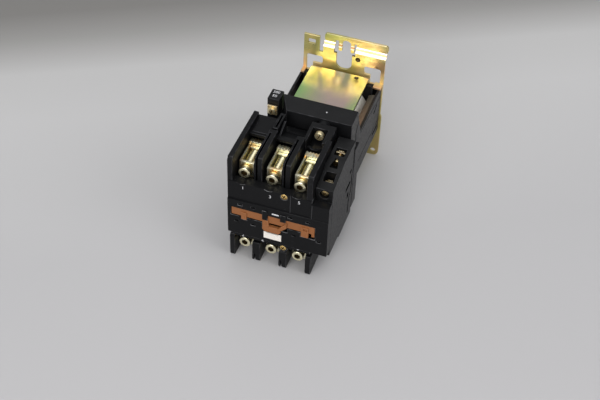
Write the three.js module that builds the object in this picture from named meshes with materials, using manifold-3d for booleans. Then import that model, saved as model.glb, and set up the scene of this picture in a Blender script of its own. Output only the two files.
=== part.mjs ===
// Three-pole contactor with a direct-current magnet, for a 35 mm top-hat rail.
// All sizes are in millimetres. X runs across the poles, Y runs from the front
// cover back to the rail, and Z is up. The front cover's band is at Y = 0 while
// the pieces are made, and the floor under the fins is at Z = 0. At the end the
// whole group moves forward, so that the origin is on the floor under its middle.

import * as THREE from 'three';
import { mergeVertices } from 'three/addons/utils/BufferGeometryUtils.js';
import Module from 'manifold-3d';

const wasm = await Module();
wasm.setup();

// Whole device
const bodyWidth = 85;
const magnetAxisZ = 56.5;        // axis of the coil, the carrier and the moving contacts
const gap = 0.3;                 // left between pieces that touch
const overrun = 1;               // how far a cut runs past the face that it opens
const wall = 2;                  // moulded plastic wall
const carrierTravel = 6;         // stroke of the contact carrier
const half = 0.5;
const bodyHalf = bodyWidth * half;

// Poles
const poleCount = 3;
const auxWidth = 14.4;           // auxiliary block on the right of the poles
const poleMargin = 1;            // what the outer barriers add to the width of the poles
const poleShift = 0.65;          // middle pole, left of the middle of the pole housing
const powerRightX = bodyHalf - auxWidth;   // right face of the pole housing
const polePitch = (powerRightX + bodyHalf - poleMargin) / poleCount;
const poleRowX = (powerRightX - bodyHalf) * half - poleShift;
const powerAxisZ = 53.15;        // half way between upper and lower terminals
const terminalRise = 39.35;      // screw axes above and below that

// Pole housing
const housingFrontY = 8.7;
const housingRearY = 68;
const coreRise = 31.35;          // floors of the wire pockets, above and below powerAxisZ
const outerWall = 4.2;           // left barrier
const rightWall = 4.6;           // right barrier
const barrierThin = 1.4;         // double barrier: thin leaf, slot and thick leaf
const barrierSlot = 1.4;
const barrierThick = 3.8;
const barrierWidth = barrierThin + barrierSlot + barrierThick;
const barrierMiddleX = poleRowX + polePitch * half;   // between the middle and the right pole
const wallFrontY = 1.3;          // outer barriers
const wallRearY = 61.3;
const wallTopZ = 112;
const wallChamfer = 3.8;
const leafRound = 3.6;           // rounded front of the double barriers
const leafSlotRearY = 40.5;
const rearLeafFrontY = 46.5;     // narrower rear end of the double barrier
const rearLeafRearY = 66;
const rearLeafOffset = 1.5;      // from the left face of the whole barrier
const rearLeafWidth = 4.3;
const rearLeafSlot = 1.5;
const finFrontY = 3.7;
const finRearY = 58;
const finChamfer = 2.4;
const finTopZs = [24.5, 20.8, 18.2, 20.8];
const finGrooveRise = 8;         // groove in the foot of each double fin
const finGrooveDepth = 14;
const chamberWall = 3.05;        // half the wall between two arc chambers
const chamberFrontY = 14;
const chamberEndWall = 5;        // top and bottom wall of an arc chamber
const beamRoomRise = 9.5;        // room for the carrier's cross-beam, above and below the axis
const beamRoomFrontY = 44;
const bandRoomDepth = 3.9;       // room for the carrier's band behind the cover
const rearShelfTopZ = 98;
const roofFrontY = 39.8;         // flat roof over the left pole
const roofRearY = 64;
const roofTopZ = 107;
const roofThickness = 3;
const roofPadRise = 0.8;
const roofPadInset = 2.6;
const slopeFrontY = 42;          // panel over the middle pole: a lip, then a slope
const slopeLipY = 46.5;
const slopeRearY = 60;
const slopeFrontZ = 105.6;
const slopeRearZ = 99.5;
const slopeThickness = 2.6;
const arcRibWidth = 1.4;
const arcRibFromLeaf = 1.6;
const arcRibFrontRise = 2.6;
const arcRibRearRise = 10.6;
const pitLeftStep = 1.45;        // square pit over the right pole, for the body screw
const pitRightStep = 2.3;
const pitLeftX = barrierMiddleX + pitLeftStep;
const pitRightX = powerRightX - pitRightStep;
const pitLeftWall = 2.7;
const pitRightWall = 5.4;
const pitFrontY = 45.5;
const pitRearWall = 6.2;
const pitTopZ = 109.4;
const pitFloorZ = 97;
const pitLedgeZ = 101.5;
const pitLedgeDepth = 2.2;
const pitBossRadius = 5;
const pitBossStep = 3.4;         // from the boss to the body screw
const pitBossZ = 92.6;
const pitBossFrontY = 47;

// Front cover
const coverDepth = 8.4;
const bandBottomZ = 31.7;
const bandTopZ = 69.2;
const bandStep = 1.2;            // how far the band stands in front of the rest
const coverTopZ = 88;
const coverBottomZ = 28.2;
const coverRightDrop = 3.4;      // the right end's upper edge, below the rest
const coverRightTopZ = coverTopZ - coverRightDrop;
const coverSkin = 1.9;
const slotLeftInset = 2.9;
const slotRightInset = 10.5;
const slotLeftX = slotLeftInset - bodyHalf;
const slotRightX = bodyHalf - slotRightInset;
const slotBottomZ = 52;
const slotTopZ = 60.9;
const yokeSlotLeftX = -12.7;     // deeper middle of the slot
const yokeSlotMiddleX = 3.8;
const yokeSlotRightX = 8.9;
const yokeSlotShoulderZ = 47.4;
const yokeSlotBottomZ = 43.1;
const hookSlotWidth = 12.1;
const hookSlotRightX = slotRightX;
const hookSlotLeftX = hookSlotRightX - hookSlotWidth;
const hookSlotBottomZ = 47.5;
const tabSlotInset = 8.6;
const tabSlotWidth = 5.5;
const tabSlotLeftX = slotLeftX + tabSlotInset;
const tabSlotRightX = tabSlotLeftX + tabSlotWidth;
const tabSlotBottomZ = 49.5;
const keeperXs = [-10.2, 5];     // two tabs that hang in front of the carrier's band
const keeperLowZs = [56.2, 58.6];
const keeperHalfWidth = 2.3;
const keeperProud = 0.9;
const keeperThickness = 1.1;
const keeperTopZ = 66;
const latchHoleWidth = 3.6;
const latchHoleHeight = 1.8;
const latchHoleTopZ = 65;
const latchHoleLowZ = 46.2;
const latchHoleTopInsets = [11, 16.6];     // outer holes, from the cover's left and right ends
const latchHoleLowInsets = [7.9, 7.3];
const latchHoleInnerX = -20.4;
const latchHoleTopRightX = 10.9;
const latchHoleLowRightX = 14.2;
const latchHoleTopXs = [
  latchHoleTopInsets[0] - bodyHalf, latchHoleInnerX, latchHoleTopRightX, bodyHalf - latchHoleTopInsets[1]];
const latchHoleLowXs = [
  latchHoleLowInsets[0] - bodyHalf, latchHoleInnerX, latchHoleLowRightX, bodyHalf - latchHoleLowInsets[1]];
const tagLeftX = -11.3;
const tagRightX = 3.8;
const tagBottomZ = 35.1;
const tagTopZ = 42.2;
const tagThickness = 1.2;
const tagEarWidth = 2.4;
const tagEarRise = 0.8;
const coverScrewStep = 1.2;      // right of the middle of the barrier
const coverScrewDrop = 3.3;      // below the cover's upper edge
const coverScrewX = barrierMiddleX + coverScrewStep;
const coverScrewTopZ = coverTopZ - coverScrewDrop;
const coverScrewLowZ = 26.8;
const coverScrewHeadRadius = 2.75;
const coverScrewHeadDepth = 1.6;
const coverScrewShankRadius = 1.5;
const coverScrewLength = 15;
const screwBossRadius = 4;
const crossWidth = 0.9;          // cross recess of the small screws
const crossDepth = 0.9;

// Power terminals
const pocketHalfWidth = (polePitch - barrierWidth) * half;
const cageCore = 3.7;            // a cage's edge is half way from here to the barrier
const cageHalfWidth = (pocketHalfWidth + cageCore) * half;
const cageSideWall = 1.3;
const shankPlay = 0.7;           // between a screw's shank and the cage's sides
const headFlange = 1;            // what a head adds to its shank's radius
const tipShare = 0.65;           // radius of a screw's tip, as a share of its shank's
const socketShare = 0.5;         // share of a head's diameter taken by its hexagon socket
const terminalHeadY = 8.3;       // front of the screw heads
const terminalHeadLength = 5;
const terminalShankRadius = cageHalfWidth - cageSideWall - shankPlay;
const terminalHeadRadius = terminalShankRadius + headFlange;
const terminalTipRadius = terminalShankRadius * tipShare;
const terminalTipLength = 1.3;
const hexAcrossFlats = 2 * terminalHeadRadius * socketShare;
const hexDepth = 3.4;
const scoopClearance = 0.8;
const headScoopRadius = terminalHeadRadius + scoopClearance;   // hollows in the cover around the heads
const screwClearance = 0.2;      // around a screw in a plain hole
const cageFrontY = 13.8;
const cageFrontWall = 2.2;
const cageRise = 7;              // above and below the screw's axis
const cageRearWall = 2;
const padThickness = 2.6;
const padHalfWidth = cageHalfWidth - cageSideWall - gap;
const padHalfHeight = 5.2;
const barFrontY = 36.4;          // face that the wire is pressed against
const barThickness = 2.4;
const barInset = 1.4;            // bar's edges, inside the cage's
const barHeadOverhang = 0.2;     // wider grooved head above the cage
const barHalfWidth = cageHalfWidth - barInset;
const barHeadHalfWidth = cageHalfWidth + barHeadOverhang;
const barHeadRise = 1.8;
const barHeadDepth = 5;
const barGrooveCount = 4;
const barGrooveWidth = 1;
const barGrooveDepth = 0.6;
const contactHalfWidth = 4;
const contactReach = 16;         // contact tips above and below the magnet's axis
const contactTipHalfHeight = 2.6;
const contactTipThickness = 1.5;
const bridgeHalfWidth = 3;
const bridgeThickness = 1.8;
const bridgeFrontY = 41.3;

// Contact carrier and armature
const bandFrontY = 0.6;
const bandThickness = 3.2;
const bandSideGap = 0.5;
const yokeFrontY = -0.9;         // front of the U under the keepers
const yokeArmWidth = 5;
const yokeBarHeight = 6;
const frontPieceRearY = 2.3;     // rear of the U, hook, tab and foot
const hookFrontY = -0.5;
const hookWidth = 6.2;
const hookNotchInset = 1.9;
const footWidth = 2.6;
const footRise = 3;
const hiddenArmFrontY = 2.3;     // arm behind the cover to the auxiliary contacts
const postHalfWidth = 5.6;
const postCheek = 1.9;
const postHalfHeight = 3.9;
const windowFrontY = 30;
const windowRearWall = 3.2;
const beamThickness = 5;
const stemRadius = 6;
const armatureThickness = 4;
const auxRodLeftReach = 1.9;     // rod to the auxiliary contacts, left and right of their screws
const auxRodRightReach = 2.7;
const auxScrewX = (powerRightX + bodyHalf) * half;
const auxRodLeftX = auxScrewX - auxRodLeftReach;
const auxRodRightX = auxScrewX + auxRodRightReach;

// Springs
const contactSpringRadius = 2.2;
const contactSpringWire = 0.32;
const contactSpringTurns = 5;
const returnSpringRadius = 8;
const returnSpringWire = 0.55;
const returnSpringTurns = 5;
const latchSpringRadius = 1.9;
const latchSpringWire = 0.35;
const latchSpringTurns = 8;
const springStepsPerTurn = 8;
const springSides = 5;

// Auxiliary contact block on the right
const auxFrontTopZ = 96.5;
const auxSlopeRearY = 37.3;
const auxRearTopZ = 102.5;
const auxRearY = 67;
const auxFrontBottomZ = 24.7;
const auxRearBottomZ = 21.2;
const auxBottomStepY = 34.8;
const auxWall = 1.6;
const auxFrontScrewTopZ = 91;    // axes of the four screws
const auxRearScrewTopZ = 98.6;
const auxFrontScrewLowZ = 30.2;
const auxRearScrewLowZ = 25;
const auxFrontHeadY = 10.2;      // fronts of the screw heads
const auxRearHeadY = 37.6;
const auxHeadRadius = 3;
const auxHeadLength = 2.4;
const auxShankRadius = 1.5;
const auxCollarRadius = 2.2;
const auxCollarLength = 1;
const auxHoleRadius = 4.1;
const auxClampOffset = 11;       // from the head to the clamp
const auxClampHalfWidth = 3.6;
const auxClampHalfHeight = 2.6;
const auxClampThickness = 1.5;
const auxPitHalfWidth = 4.3;
const auxPitLength = 9.5;
const auxPitDepth = 7.6;         // below the screw's axis
const auxBarThickness = 1.2;
const auxBarHalfWidth = 2.2;
const auxContactReach = 12;
const auxTipHalfHeight = 1.8;
const auxTipThickness = 1.2;
const auxBridgeThickness = 1.2;
const auxBridgeHalfWidth = 1.8;

// Magnet housing
const frameFrontY = 68.3;
const flangeRearY = 79.5;
const flangeBottomZ = 25.2;
const flangeTopZ = 89.5;
const frameHalfWidth = 36.8;
const frameRearY = 103;
const barRearY = 91.9;
const crossBarFrontY = 72.6;
const crossBarTopZ = 110.5;
const troughTopZ = 81;
const troughBottomZ = 32;
const troughRearY = 166.8;
const troughRearWall = 3.2;
const stemHoleRadius = 9.5;

// Magnet and coil
const frameWall = 2.2;           // side walls of the magnet housing
const frameFloor = 1.5;
const windingSide = 3.2;         // bobbin's flanges to the side walls
const flangeOverWinding = 0.4;   // flanges past the winding, sideways
const flangeOverWindingUp = 0.6;
const yokeSide = 4.9;            // yoke's edges, inside the flanges'
const yokePlay = 0.5;
const yokeRoomTop = 1.2;
const yokeRoomBottom = 0.8;
const yokeThickness = 3.2;
const cavityHalfWidth = frameHalfWidth - frameWall;
const bobbinHalfWidth = cavityHalfWidth - windingSide;
const windingRadius = bobbinHalfWidth - flangeOverWinding;
const bobbinHalfHeight = windingRadius + flangeOverWindingUp;
const yokeHalfWidth = bobbinHalfWidth - yokeSide;
const yokeHalfHeight = bobbinHalfHeight + yokePlay + yokeThickness;
const armatureInset = 1;         // armature's edges, inside the yoke's
const armatureInsetUp = 1.3;
const armatureHalfWidth = yokeHalfWidth - armatureInset;
const armatureHalfHeight = yokeHalfHeight - armatureInsetUp;
const cavityTopZ = magnetAxisZ + yokeHalfHeight + yokeRoomTop;
const cavityBottomZ = magnetAxisZ - yokeHalfHeight - yokeRoomBottom;
const frameBottomZ = cavityBottomZ - frameFloor;
const magnetFrontY = 86.4;
const yokeRearY = 162.2;
const coreRadius = 13;
const boreClearance = 0.5;
const bobbinWall = 1.4;
const bobbinFlange = 2.6;
const bobbinFrontY = 92.2;
const bobbinRearY = 156.6;
const earOverhang = 2;           // coil terminal ears at the upper and lower left, past the side wall
const earOverlap = 2.7;          // ear on the flange
const earLeftX = -frameHalfWidth - earOverhang;
const earRightX = earOverlap - bobbinHalfWidth;
const crossBarCornerWidth = 9.5;
const crossBarLeftX = earRightX + gap;
const crossBarCornerX = crossBarLeftX + crossBarCornerWidth;
const earFrontY = 81.8;
const earReach = 54;             // outer face of an ear, from the magnet's axis
const earInner = 26.5;           // inner face of an ear, from the magnet's axis
const earScrewReach = 44;        // screw axis from the magnet's axis
const coilHeadRadius = 3.1;
const coilHeadLength = 2.4;
const coilShankRadius = 1.7;
const coilShankLength = 9;
const coilClampHalfWidth = 4.2;
const coilClampHalfHeight = 4.6;
const coilClampThickness = 1.4;
const coilClampGap = 0.8;

// Body screw in the square pit
const bodyScrewShift = 0.15;     // left of the middle of the pit
const bodyScrewX = (pitLeftX + pitLeftWall + pitRightX - pitRightWall) * half - bodyScrewShift;
const pitBossX = bodyScrewX - pitBossStep;
const bodyScrewZ = 104;
const bodyScrewHeadFrontY = 57.4;
const bodyScrewHeadRadius = 3.8;
const bodyScrewHeadLength = 3.6;
const bodyScrewShankRadius = 2;
const bodyScrewEndY = 82;

// Mounting plate, rail hook and rail latch
const plateFrontY = 167.1;
const plateThickness = 2;
const plateLeftX = -36.3;
const plateRightX = 37.7;
const plateFootRightX = 39;
const plateFootTopZ = 50;
const plateShoulderZ = 98;
const plateCornerRadius = 5;
const earPlateRightX = -22;
const earPlateTopZ = 118.7;
const earHoleLeftX = -32.3;
const earHoleRightX = -25.7;
const earHoleBottomZ = 109.9;
const earHoleTopZ = 114.5;
const footHoleX = 34;
const footHoleZ = 5.6;
const footHoleRadius = 2.3;
const windowLeftX = -33.2;
const windowLeftInnerX = -18.5;
const windowRightInnerX = 19.5;
const windowRightX = 34.6;
const windowBottomZ = 90;
const windowFootZ = 81.4;        // narrower lower part of each window
const windowFootLeftX = -27.4;
const windowFootRightX = 25.4;
const recessLeftX = -6.2;        // rounded recess between the hook's two arms
const recessRightX = 7.8;
const recessBottomZ = 89.8;
const joggleBottomZ = 109.2;
const joggleRise = 4.6;
const joggleDepth = 3;
const joggleLeftX = -18.4;
const joggleLeftInnerX = -8.6;
const joggleRightInnerX = 10.8;
const lipRightX = 38.9;
const lipTopZ = 121.7;
const lipLowZ = 116.4;
const tongueTipZ = 106.2;
const tongueWidth = 3.4;
const tongueLeftX = -3.9;
const tongueRightX = 7.1;
const archTopZ = 118;
const clipTabDepth = 7;          // tabs that hold the magnet housing's side walls
const clipTabLeftWidth = 3.2;
const clipTabRightWidth = 7.4;
const clipTabZ = 81.4;
const railHeight = 35;
const railTopZ = 109;
const latchHalfWidth = 9;
const latchThickness = 2;
const latchBottomZ = 5.4;
const latchToothHalfWidth = 14;
const latchToothDepth = 1.3;     // how far the tooth stands back, behind the rail's flange
const latchToothOverlap = 4;
const latchToothHeight = 6.5;
const latchPullRadius = 3.2;
const latchPullZ = 11.5;
const latchWindowHalfWidth = 3.2;
const latchWindowBottomZ = 34;
const latchWindowTopZ = 54;
const latchLugHeight = 2;
const guideZs = [20, 63];
const guideHeight = 5;
const guideThickness = 1.6;
const guideFoot = 3;

// Facets
const fineSides = 32;
const midSides = 24;
const smallSides = 16;
const cornerSteps = 5;
const roundShare = 0.92;         // share of a half width taken by a round end
const bevelShare = 0.3;          // share of a corner's radius cut off by its middle flat
const recessShare = 0.62;        // share of a screw head's radius taken by its cross

const coreTopZ = powerAxisZ + coreRise;
const coreBottomZ = powerAxisZ - coreRise;
const poleXs = Array.from({ length: poleCount }, (_, i) => poleRowX + (i - (poleCount - 1) * half) * polePitch);
const sides = [1, -1];
const sideNames = { '1': 'line', '-1': 'load' };
const plateRearY = plateFrontY + plateThickness;
const lipFrontY = plateFrontY + joggleDepth;
const lipRearY = lipFrontY + plateThickness;
const latchRearY = plateRearY + gap + latchThickness;
const toothRearY = latchRearY + latchToothDepth;
const frontmostY = Math.min(yokeFrontY, -keeperProud);
const guideRearY = latchRearY + gap + guideThickness;
const middleY = (frontmostY + Math.max(toothRearY, guideRearY)) * half;

// Materials
const finish = (color, roughness, metalness) => new THREE.MeshStandardMaterial({ color, roughness, metalness });
const blackPlastic = finish(0x26262a, 0.5, 0);
const brownPlastic = finish(0xb4622f, 0.45, 0);
const creamTape = finish(0xe6dcc4, 0.7, 0);
const whitePlastic = finish(0xeeeeee, 0.5, 0);
const yellowZinc = finish(0xcdb45c, 0.35, 1);
const paleZinc = finish(0xc4bd94, 0.4, 1);
const brass = finish(0xc99a45, 0.35, 1);
const copper = finish(0xb87350, 0.4, 1);
const steel = finish(0x9a9a98, 0.4, 1);

// A closed geometry becomes a solid that can be joined and cut
function solid(geometry) {
  geometry.deleteAttribute('normal');
  geometry.deleteAttribute('uv');
  const merged = mergeVertices(geometry);
  const vertProperties = Float32Array.from(merged.attributes.position.array);
  const triVerts = Uint32Array.from(merged.index.array);
  return new wasm.Manifold(new wasm.Mesh({ numProp: 3, vertProperties, triVerts }));
}

const join = (...pieces) => pieces.reduce((sum, piece) => sum.add(piece));
const cut = (base, ...tools) => tools.reduce((rest, tool) => rest.subtract(tool), base);

function block([x0, x1], [y0, y1], [z0, z1]) {
  const box = new THREE.BoxGeometry(x1 - x0, y1 - y0, z1 - z0);
  box.translate((x0 + x1) * half, (y0 + y1) * half, (z0 + z1) * half);
  return solid(box);
}

// A rod along Y
function rod(x, z, radius, [y0, y1], steps = midSides) {
  const cylinder = new THREE.CylinderGeometry(radius, radius, y1 - y0, steps);
  cylinder.translate(x, (y0 + y1) * half, z);
  return solid(cylinder);
}

// An outline of [y, z] points, carried across X
function prismX(points, [x0, x1]) {
  const shape = new THREE.Shape(points.map(([y, z]) => new THREE.Vector2(y, z)));
  const geometry = new THREE.ExtrudeGeometry(shape, { depth: x1 - x0, bevelEnabled: false });
  const across = new THREE.Matrix4().makeBasis(
    new THREE.Vector3(0, 1, 0), new THREE.Vector3(0, 0, 1), new THREE.Vector3(1, 0, 0));
  geometry.applyMatrix4(across);
  geometry.translate(x0, 0, 0);
  return solid(geometry);
}

// A shape drawn in X and Z, carried along Y
function prismY(shape, [y0, y1], curveSegments = cornerSteps) {
  const geometry = new THREE.ExtrudeGeometry(shape, { depth: y1 - y0, bevelEnabled: false, curveSegments });
  geometry.rotateX(Math.PI * half);
  geometry.translate(0, y1, 0);
  return solid(geometry);
}

// A rectangle in X and Z with round corners
function roundedRectangle([x0, x1], [z0, z1], radius) {
  const shape = new THREE.Shape();
  shape.moveTo(x0 + radius, z0);
  shape.lineTo(x1 - radius, z0);
  shape.absarc(x1 - radius, z0 + radius, radius, -Math.PI * half, 0);
  shape.lineTo(x1, z1 - radius);
  shape.absarc(x1 - radius, z1 - radius, radius, 0, Math.PI * half);
  shape.lineTo(x0 + radius, z1);
  shape.absarc(x0 + radius, z1 - radius, radius, Math.PI * half, Math.PI);
  shape.lineTo(x0, z0 + radius);
  shape.absarc(x0 + radius, z0 + radius, radius, Math.PI, Math.PI * 1.5);
  return shape;
}

// A pair of ranges as [low, high], whichever side of the axis they lie
const span = (a, b) => [Math.min(a, b), Math.max(a, b)];
const around = (middle, reach) => [middle - reach, middle + reach];

const device = new THREE.Group();
device.position.y = -middleY;

function add(name, manifold, material) {
  const { vertProperties, triVerts } = manifold.getMesh();
  const geometry = new THREE.BufferGeometry();
  geometry.setAttribute('position', new THREE.BufferAttribute(Float32Array.from(vertProperties), 3));
  geometry.setIndex(new THREE.BufferAttribute(Uint32Array.from(triVerts), 1));
  const flat = geometry.toNonIndexed();
  flat.computeVertexNormals();
  const mesh = new THREE.Mesh(flat, material);
  mesh.name = name;
  device.add(mesh);
  return mesh;
}

// Least gap between points of a spring's curls that lie half a turn or more apart
function leastGap(points) {
  const apart = springStepsPerTurn * half * springSides;
  let least = Infinity;
  points.forEach((point, i) => points.slice(i + apart).forEach((other) => {
    least = Math.min(least, point.distanceTo(other));
  }));
  return least;
}

// A round wire wound along Y from y0 to y1: one unbroken tube with flat ends
function spring(name, radius, wire, turns, [y0, y1]) {
  const steps = turns * springStepsPerTurn;
  const pitch = (y1 - y0 - 2 * wire) / turns;
  const points = [];
  for (let i = 0; i <= steps; i += 1) {
    const angle = (i / springStepsPerTurn) * Math.PI * 2;
    const centre = new THREE.Vector3(
      radius * Math.cos(angle), y0 + wire + (i / steps) * pitch * turns, radius * Math.sin(angle));
    const outward = new THREE.Vector3(Math.cos(angle), 0, Math.sin(angle));
    for (let j = 0; j < springSides; j += 1) {
      const turn = (j / springSides) * Math.PI * 2;
      points.push(new THREE.Vector3(
        centre.x + outward.x * wire * Math.cos(turn),
        centre.y + wire * Math.sin(turn),
        centre.z + outward.z * wire * Math.cos(turn)));
    }
  }
  console.log(`${name}: least gap between curls ${leastGap(points).toFixed(2)} mm`);
  const faces = [];
  for (let i = 0; i < steps; i += 1) {
    for (let j = 0; j < springSides; j += 1) {
      const next = (j + 1) % springSides;
      const a = i * springSides + j;
      const b = i * springSides + next;
      faces.push(a, b, a + springSides);
      faces.push(b, b + springSides, a + springSides);
    }
  }
  const last = steps * springSides;
  for (let j = 1; j < springSides - 1; j += 1) {
    faces.push(0, j + 1, j);
    faces.push(last, last + j, last + j + 1);
  }
  return new wasm.Manifold(new wasm.Mesh({
    numProp: 3,
    vertProperties: Float32Array.from(points.flatMap((point) => point.toArray())),
    triVerts: Uint32Array.from(faces),
  }));
}

// Cross recess in the front face of a small screw
function crossRecess(x, z, frontY, radius) {
  const depth = [frontY - overrun, frontY + crossDepth];
  const reach = radius * recessShare;
  return join(
    block(around(x, reach), depth, around(z, crossWidth * half)),
    block(around(x, crossWidth * half), depth, around(z, reach)));
}

// X ranges of the barriers: left, the double ones between poles, and right
const doubleBarriers = poleXs.slice(1).map((x) => {
  const left = x - (polePitch + barrierWidth) * half;
  return {
    whole: [left, left + barrierWidth],
    slot: [left + barrierThin, left + barrierThin + barrierSlot],
  };
});
const leftBarrier = [-bodyHalf, -bodyHalf + outerWall];
const rightBarrier = [powerRightX - rightWall, powerRightX];
const barrierRanges = [leftBarrier, ...doubleBarriers.map((barrier) => barrier.whole), rightBarrier];

// Shared places along Y
const windowRearY = bridgeFrontY + bridgeThickness + gap;
const beamFrontY = windowRearY + windowRearWall;
const beamRearY = beamFrontY + beamThickness;
const bridgeTipY = bridgeFrontY + bridgeThickness + contactTipThickness;
const fixedTipY = bridgeTipY + carrierTravel + gap;
const legFrontY = fixedTipY + contactTipThickness;
const legRearY = legFrontY + barThickness;
const padRearY = barFrontY - gap;
const padFrontY = padRearY - padThickness;
const armatureRearY = magnetFrontY - gap - carrierTravel;
const armatureFrontY = armatureRearY - armatureThickness;

// Pole housing: arc chambers, barriers with their fins, and the roofs over the wire pockets
function poleHousing() {
  const core = block([-bodyHalf, powerRightX], [housingFrontY, housingRearY], [coreBottomZ, coreTopZ]);
  const outerWalls = [[leftBarrier, wallRearY], [rightBarrier, pitFrontY + wall]].map(([range, rearY]) => prismX([
    [housingFrontY, coreTopZ - wall],
    [rearY, coreTopZ - wall],
    [rearY, wallTopZ],
    [wallFrontY + wallChamfer * half, wallTopZ],
    [wallFrontY, wallTopZ - wallChamfer],
    [wallFrontY, coverTopZ + gap],
    [housingFrontY, coverTopZ + gap],
  ], range));
  const leafFronts = doubleBarriers.map((barrier) => prismX([
    [housingFrontY, coreTopZ - wall],
    [rearLeafFrontY - wall, coreTopZ - wall],
    [rearLeafFrontY - wall, wallTopZ],
    [housingFrontY + leafRound, wallTopZ],
    [housingFrontY + leafRound * bevelShare, wallTopZ - leafRound * bevelShare],
    [housingFrontY, wallTopZ - leafRound],
  ], barrier.whole));
  const rearLeafX = doubleBarriers[0].whole[0] + rearLeafOffset;
  const rearLeaf = block([rearLeafX, rearLeafX + rearLeafWidth],
    [rearLeafFrontY, rearLeafRearY], [coreTopZ - overrun, wallTopZ]);
  const rearLeafFoot = block([rearLeafX, rearLeafX + rearLeafWidth],
    [rearLeafFrontY - wall - overrun, rearLeafFrontY + overrun], [coreTopZ - overrun, wallTopZ - wallChamfer]);
  const finRootY = (i) => housingFrontY + (finTopZs[i] > coreBottomZ ? overrun : 0);
  const fins = barrierRanges.map((range, i) => prismX([
    [finRootY(i), finTopZs[i]],
    [finFrontY + finChamfer * half, finTopZs[i]],
    [finFrontY, finTopZs[i] - finChamfer],
    [finFrontY, finChamfer],
    [finFrontY + finChamfer * half, 0],
    [finRearY - finChamfer, 0],
    [finRearY, finChamfer],
    [finRearY, coreBottomZ + overrun],
    [finRootY(i), coreBottomZ + overrun],
  ], range));
  const rearShelf = block([-bodyHalf, pitRightX], [wallRearY, housingRearY], [coreTopZ - overrun, rearShelfTopZ]);

  const leftPocket = [leftBarrier[1] - overrun, doubleBarriers[0].whole[0] + rearLeafOffset + overrun];
  const middlePocket = [doubleBarriers[0].whole[1] - overrun, pitLeftX + overrun];
  const flatRoof = block(leftPocket, [roofFrontY, roofRearY], [roofTopZ - roofThickness, roofTopZ]);
  const roofPad = block(
    [leftPocket[0] + roofPadInset, leftPocket[1] - roofPadInset], [roofFrontY + wall, roofRearY - wall],
    [roofTopZ - overrun, roofTopZ + roofPadRise]);
  const slopingRoof = prismX([
    [slopeFrontY, slopeFrontZ - slopeThickness],
    [slopeLipY, slopeFrontZ - slopeThickness],
    [slopeRearY, slopeRearZ - slopeThickness],
    [slopeRearY, slopeRearZ],
    [slopeLipY, slopeFrontZ],
    [slopeFrontY, slopeFrontZ],
  ], middlePocket);
  const arcRib = prismX([
    [slopeFrontY + wall, slopeFrontZ - overrun],
    [slopeRearY, slopeRearZ - overrun],
    [slopeRearY, slopeRearZ + arcRibRearRise],
    [slopeRearY - wall, slopeRearZ + arcRibRearRise + wall * half],
    [slopeLipY + arcRibFrontRise, slopeFrontZ + arcRibFrontRise],
    [slopeLipY, slopeFrontZ + wall * half],
  ], [middlePocket[0] + arcRibFromLeaf, middlePocket[0] + arcRibFromLeaf + arcRibWidth]);

  const pitDepth = [pitFrontY, housingRearY];
  const pitBottomZ = pitFloorZ - pitRightWall * half;
  const pitFloor = block([pitLeftX, pitRightX], pitDepth, [pitBottomZ, pitFloorZ]);
  const pitBack = block([pitLeftX, pitRightX], [housingRearY - pitRearWall, housingRearY], [pitBottomZ, pitTopZ]);
  const pitSides = [[pitLeftX, pitLeftX + pitLeftWall], [pitRightX - pitRightWall, pitRightX]].map(
    (range) => block(range, pitDepth, [coreTopZ - overrun, pitTopZ]));
  const pitLeftFront = block([pitLeftX, pitLeftX + pitLeftWall],
    [rearLeafFrontY - wall - overrun, pitFrontY + overrun], [coreTopZ - overrun, pitTopZ]);
  const pitLedge = block([pitLeftX, pitRightX], [pitFrontY, pitFrontY + pitLedgeDepth], [pitBottomZ, pitLedgeZ]);
  const pitBoss = rod(pitBossX, pitBossZ, pitBossRadius, [pitBossFrontY, wallRearY + overrun]);
  const lug = rod(bodyScrewX, bodyScrewZ, bodyScrewHeadRadius + wall, [housingRearY - overrun, crossBarFrontY - gap]);

  const chambers = poleXs.map((x) => block(
    around(x, polePitch * half - chamberWall),
    [chamberFrontY, housingRearY + overrun],
    [coreBottomZ + chamberEndWall, coreTopZ - chamberEndWall]));
  const beamRoom = block(
    [poleXs[0], poleXs[poleCount - 1]],
    [beamRoomFrontY, housingRearY + overrun], around(magnetAxisZ, beamRoomRise));
  const bandRoom = block(
    [slotLeftX - overrun, powerRightX + overrun],
    [housingFrontY - overrun, housingFrontY + bandRoomDepth], around(magnetAxisZ, postHalfHeight + wall));
  const postHoles = poleXs.map((x) => block(
    around(x, postHalfWidth + bandSideGap),
    [housingFrontY, chamberFrontY + overrun], around(magnetAxisZ, postHalfHeight + bandSideGap)));
  const barSlots = sides.flatMap((side) => poleXs.map((x) => {
    const pocketZ = powerAxisZ + side * coreRise;
    const legZ = pocketZ - side * (barThickness - gap);
    const reach = around(x, barHalfWidth + gap);
    return join(
      block(reach, [barFrontY - gap, legRearY + gap], span(legZ - side * gap, pocketZ + side * overrun)),
      block(reach, [legFrontY - gap, legRearY + gap], span(pocketZ, pocketZ - side * (chamberEndWall + overrun))));
  }));
  const slots = doubleBarriers.flatMap((barrier) => [
    block(barrier.slot, [housingFrontY - overrun, leafSlotRearY], [coreTopZ, wallTopZ + overrun]),
    block(barrier.slot, [finFrontY - overrun, finGrooveDepth], [-overrun, finGrooveRise]),
  ]);
  const rearLeafCut = block(
    around(rearLeafX + rearLeafWidth * half, rearLeafSlot * half),
    [rearLeafFrontY + wall, rearLeafRearY - wall], [rearShelfTopZ, wallTopZ + overrun]);
  const coverScrewHoles = [coverScrewTopZ, coverScrewLowZ].map((z) => rod(
    coverScrewX, z, coverScrewShankRadius + screwClearance,
    [housingFrontY - overrun, bandStep + coverScrewLength + overrun], smallSides));
  const bodyScrewHole = rod(
    bodyScrewX, bodyScrewZ, bodyScrewShankRadius + screwClearance, [pitFrontY - overrun, crossBarFrontY], smallSides);
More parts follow.
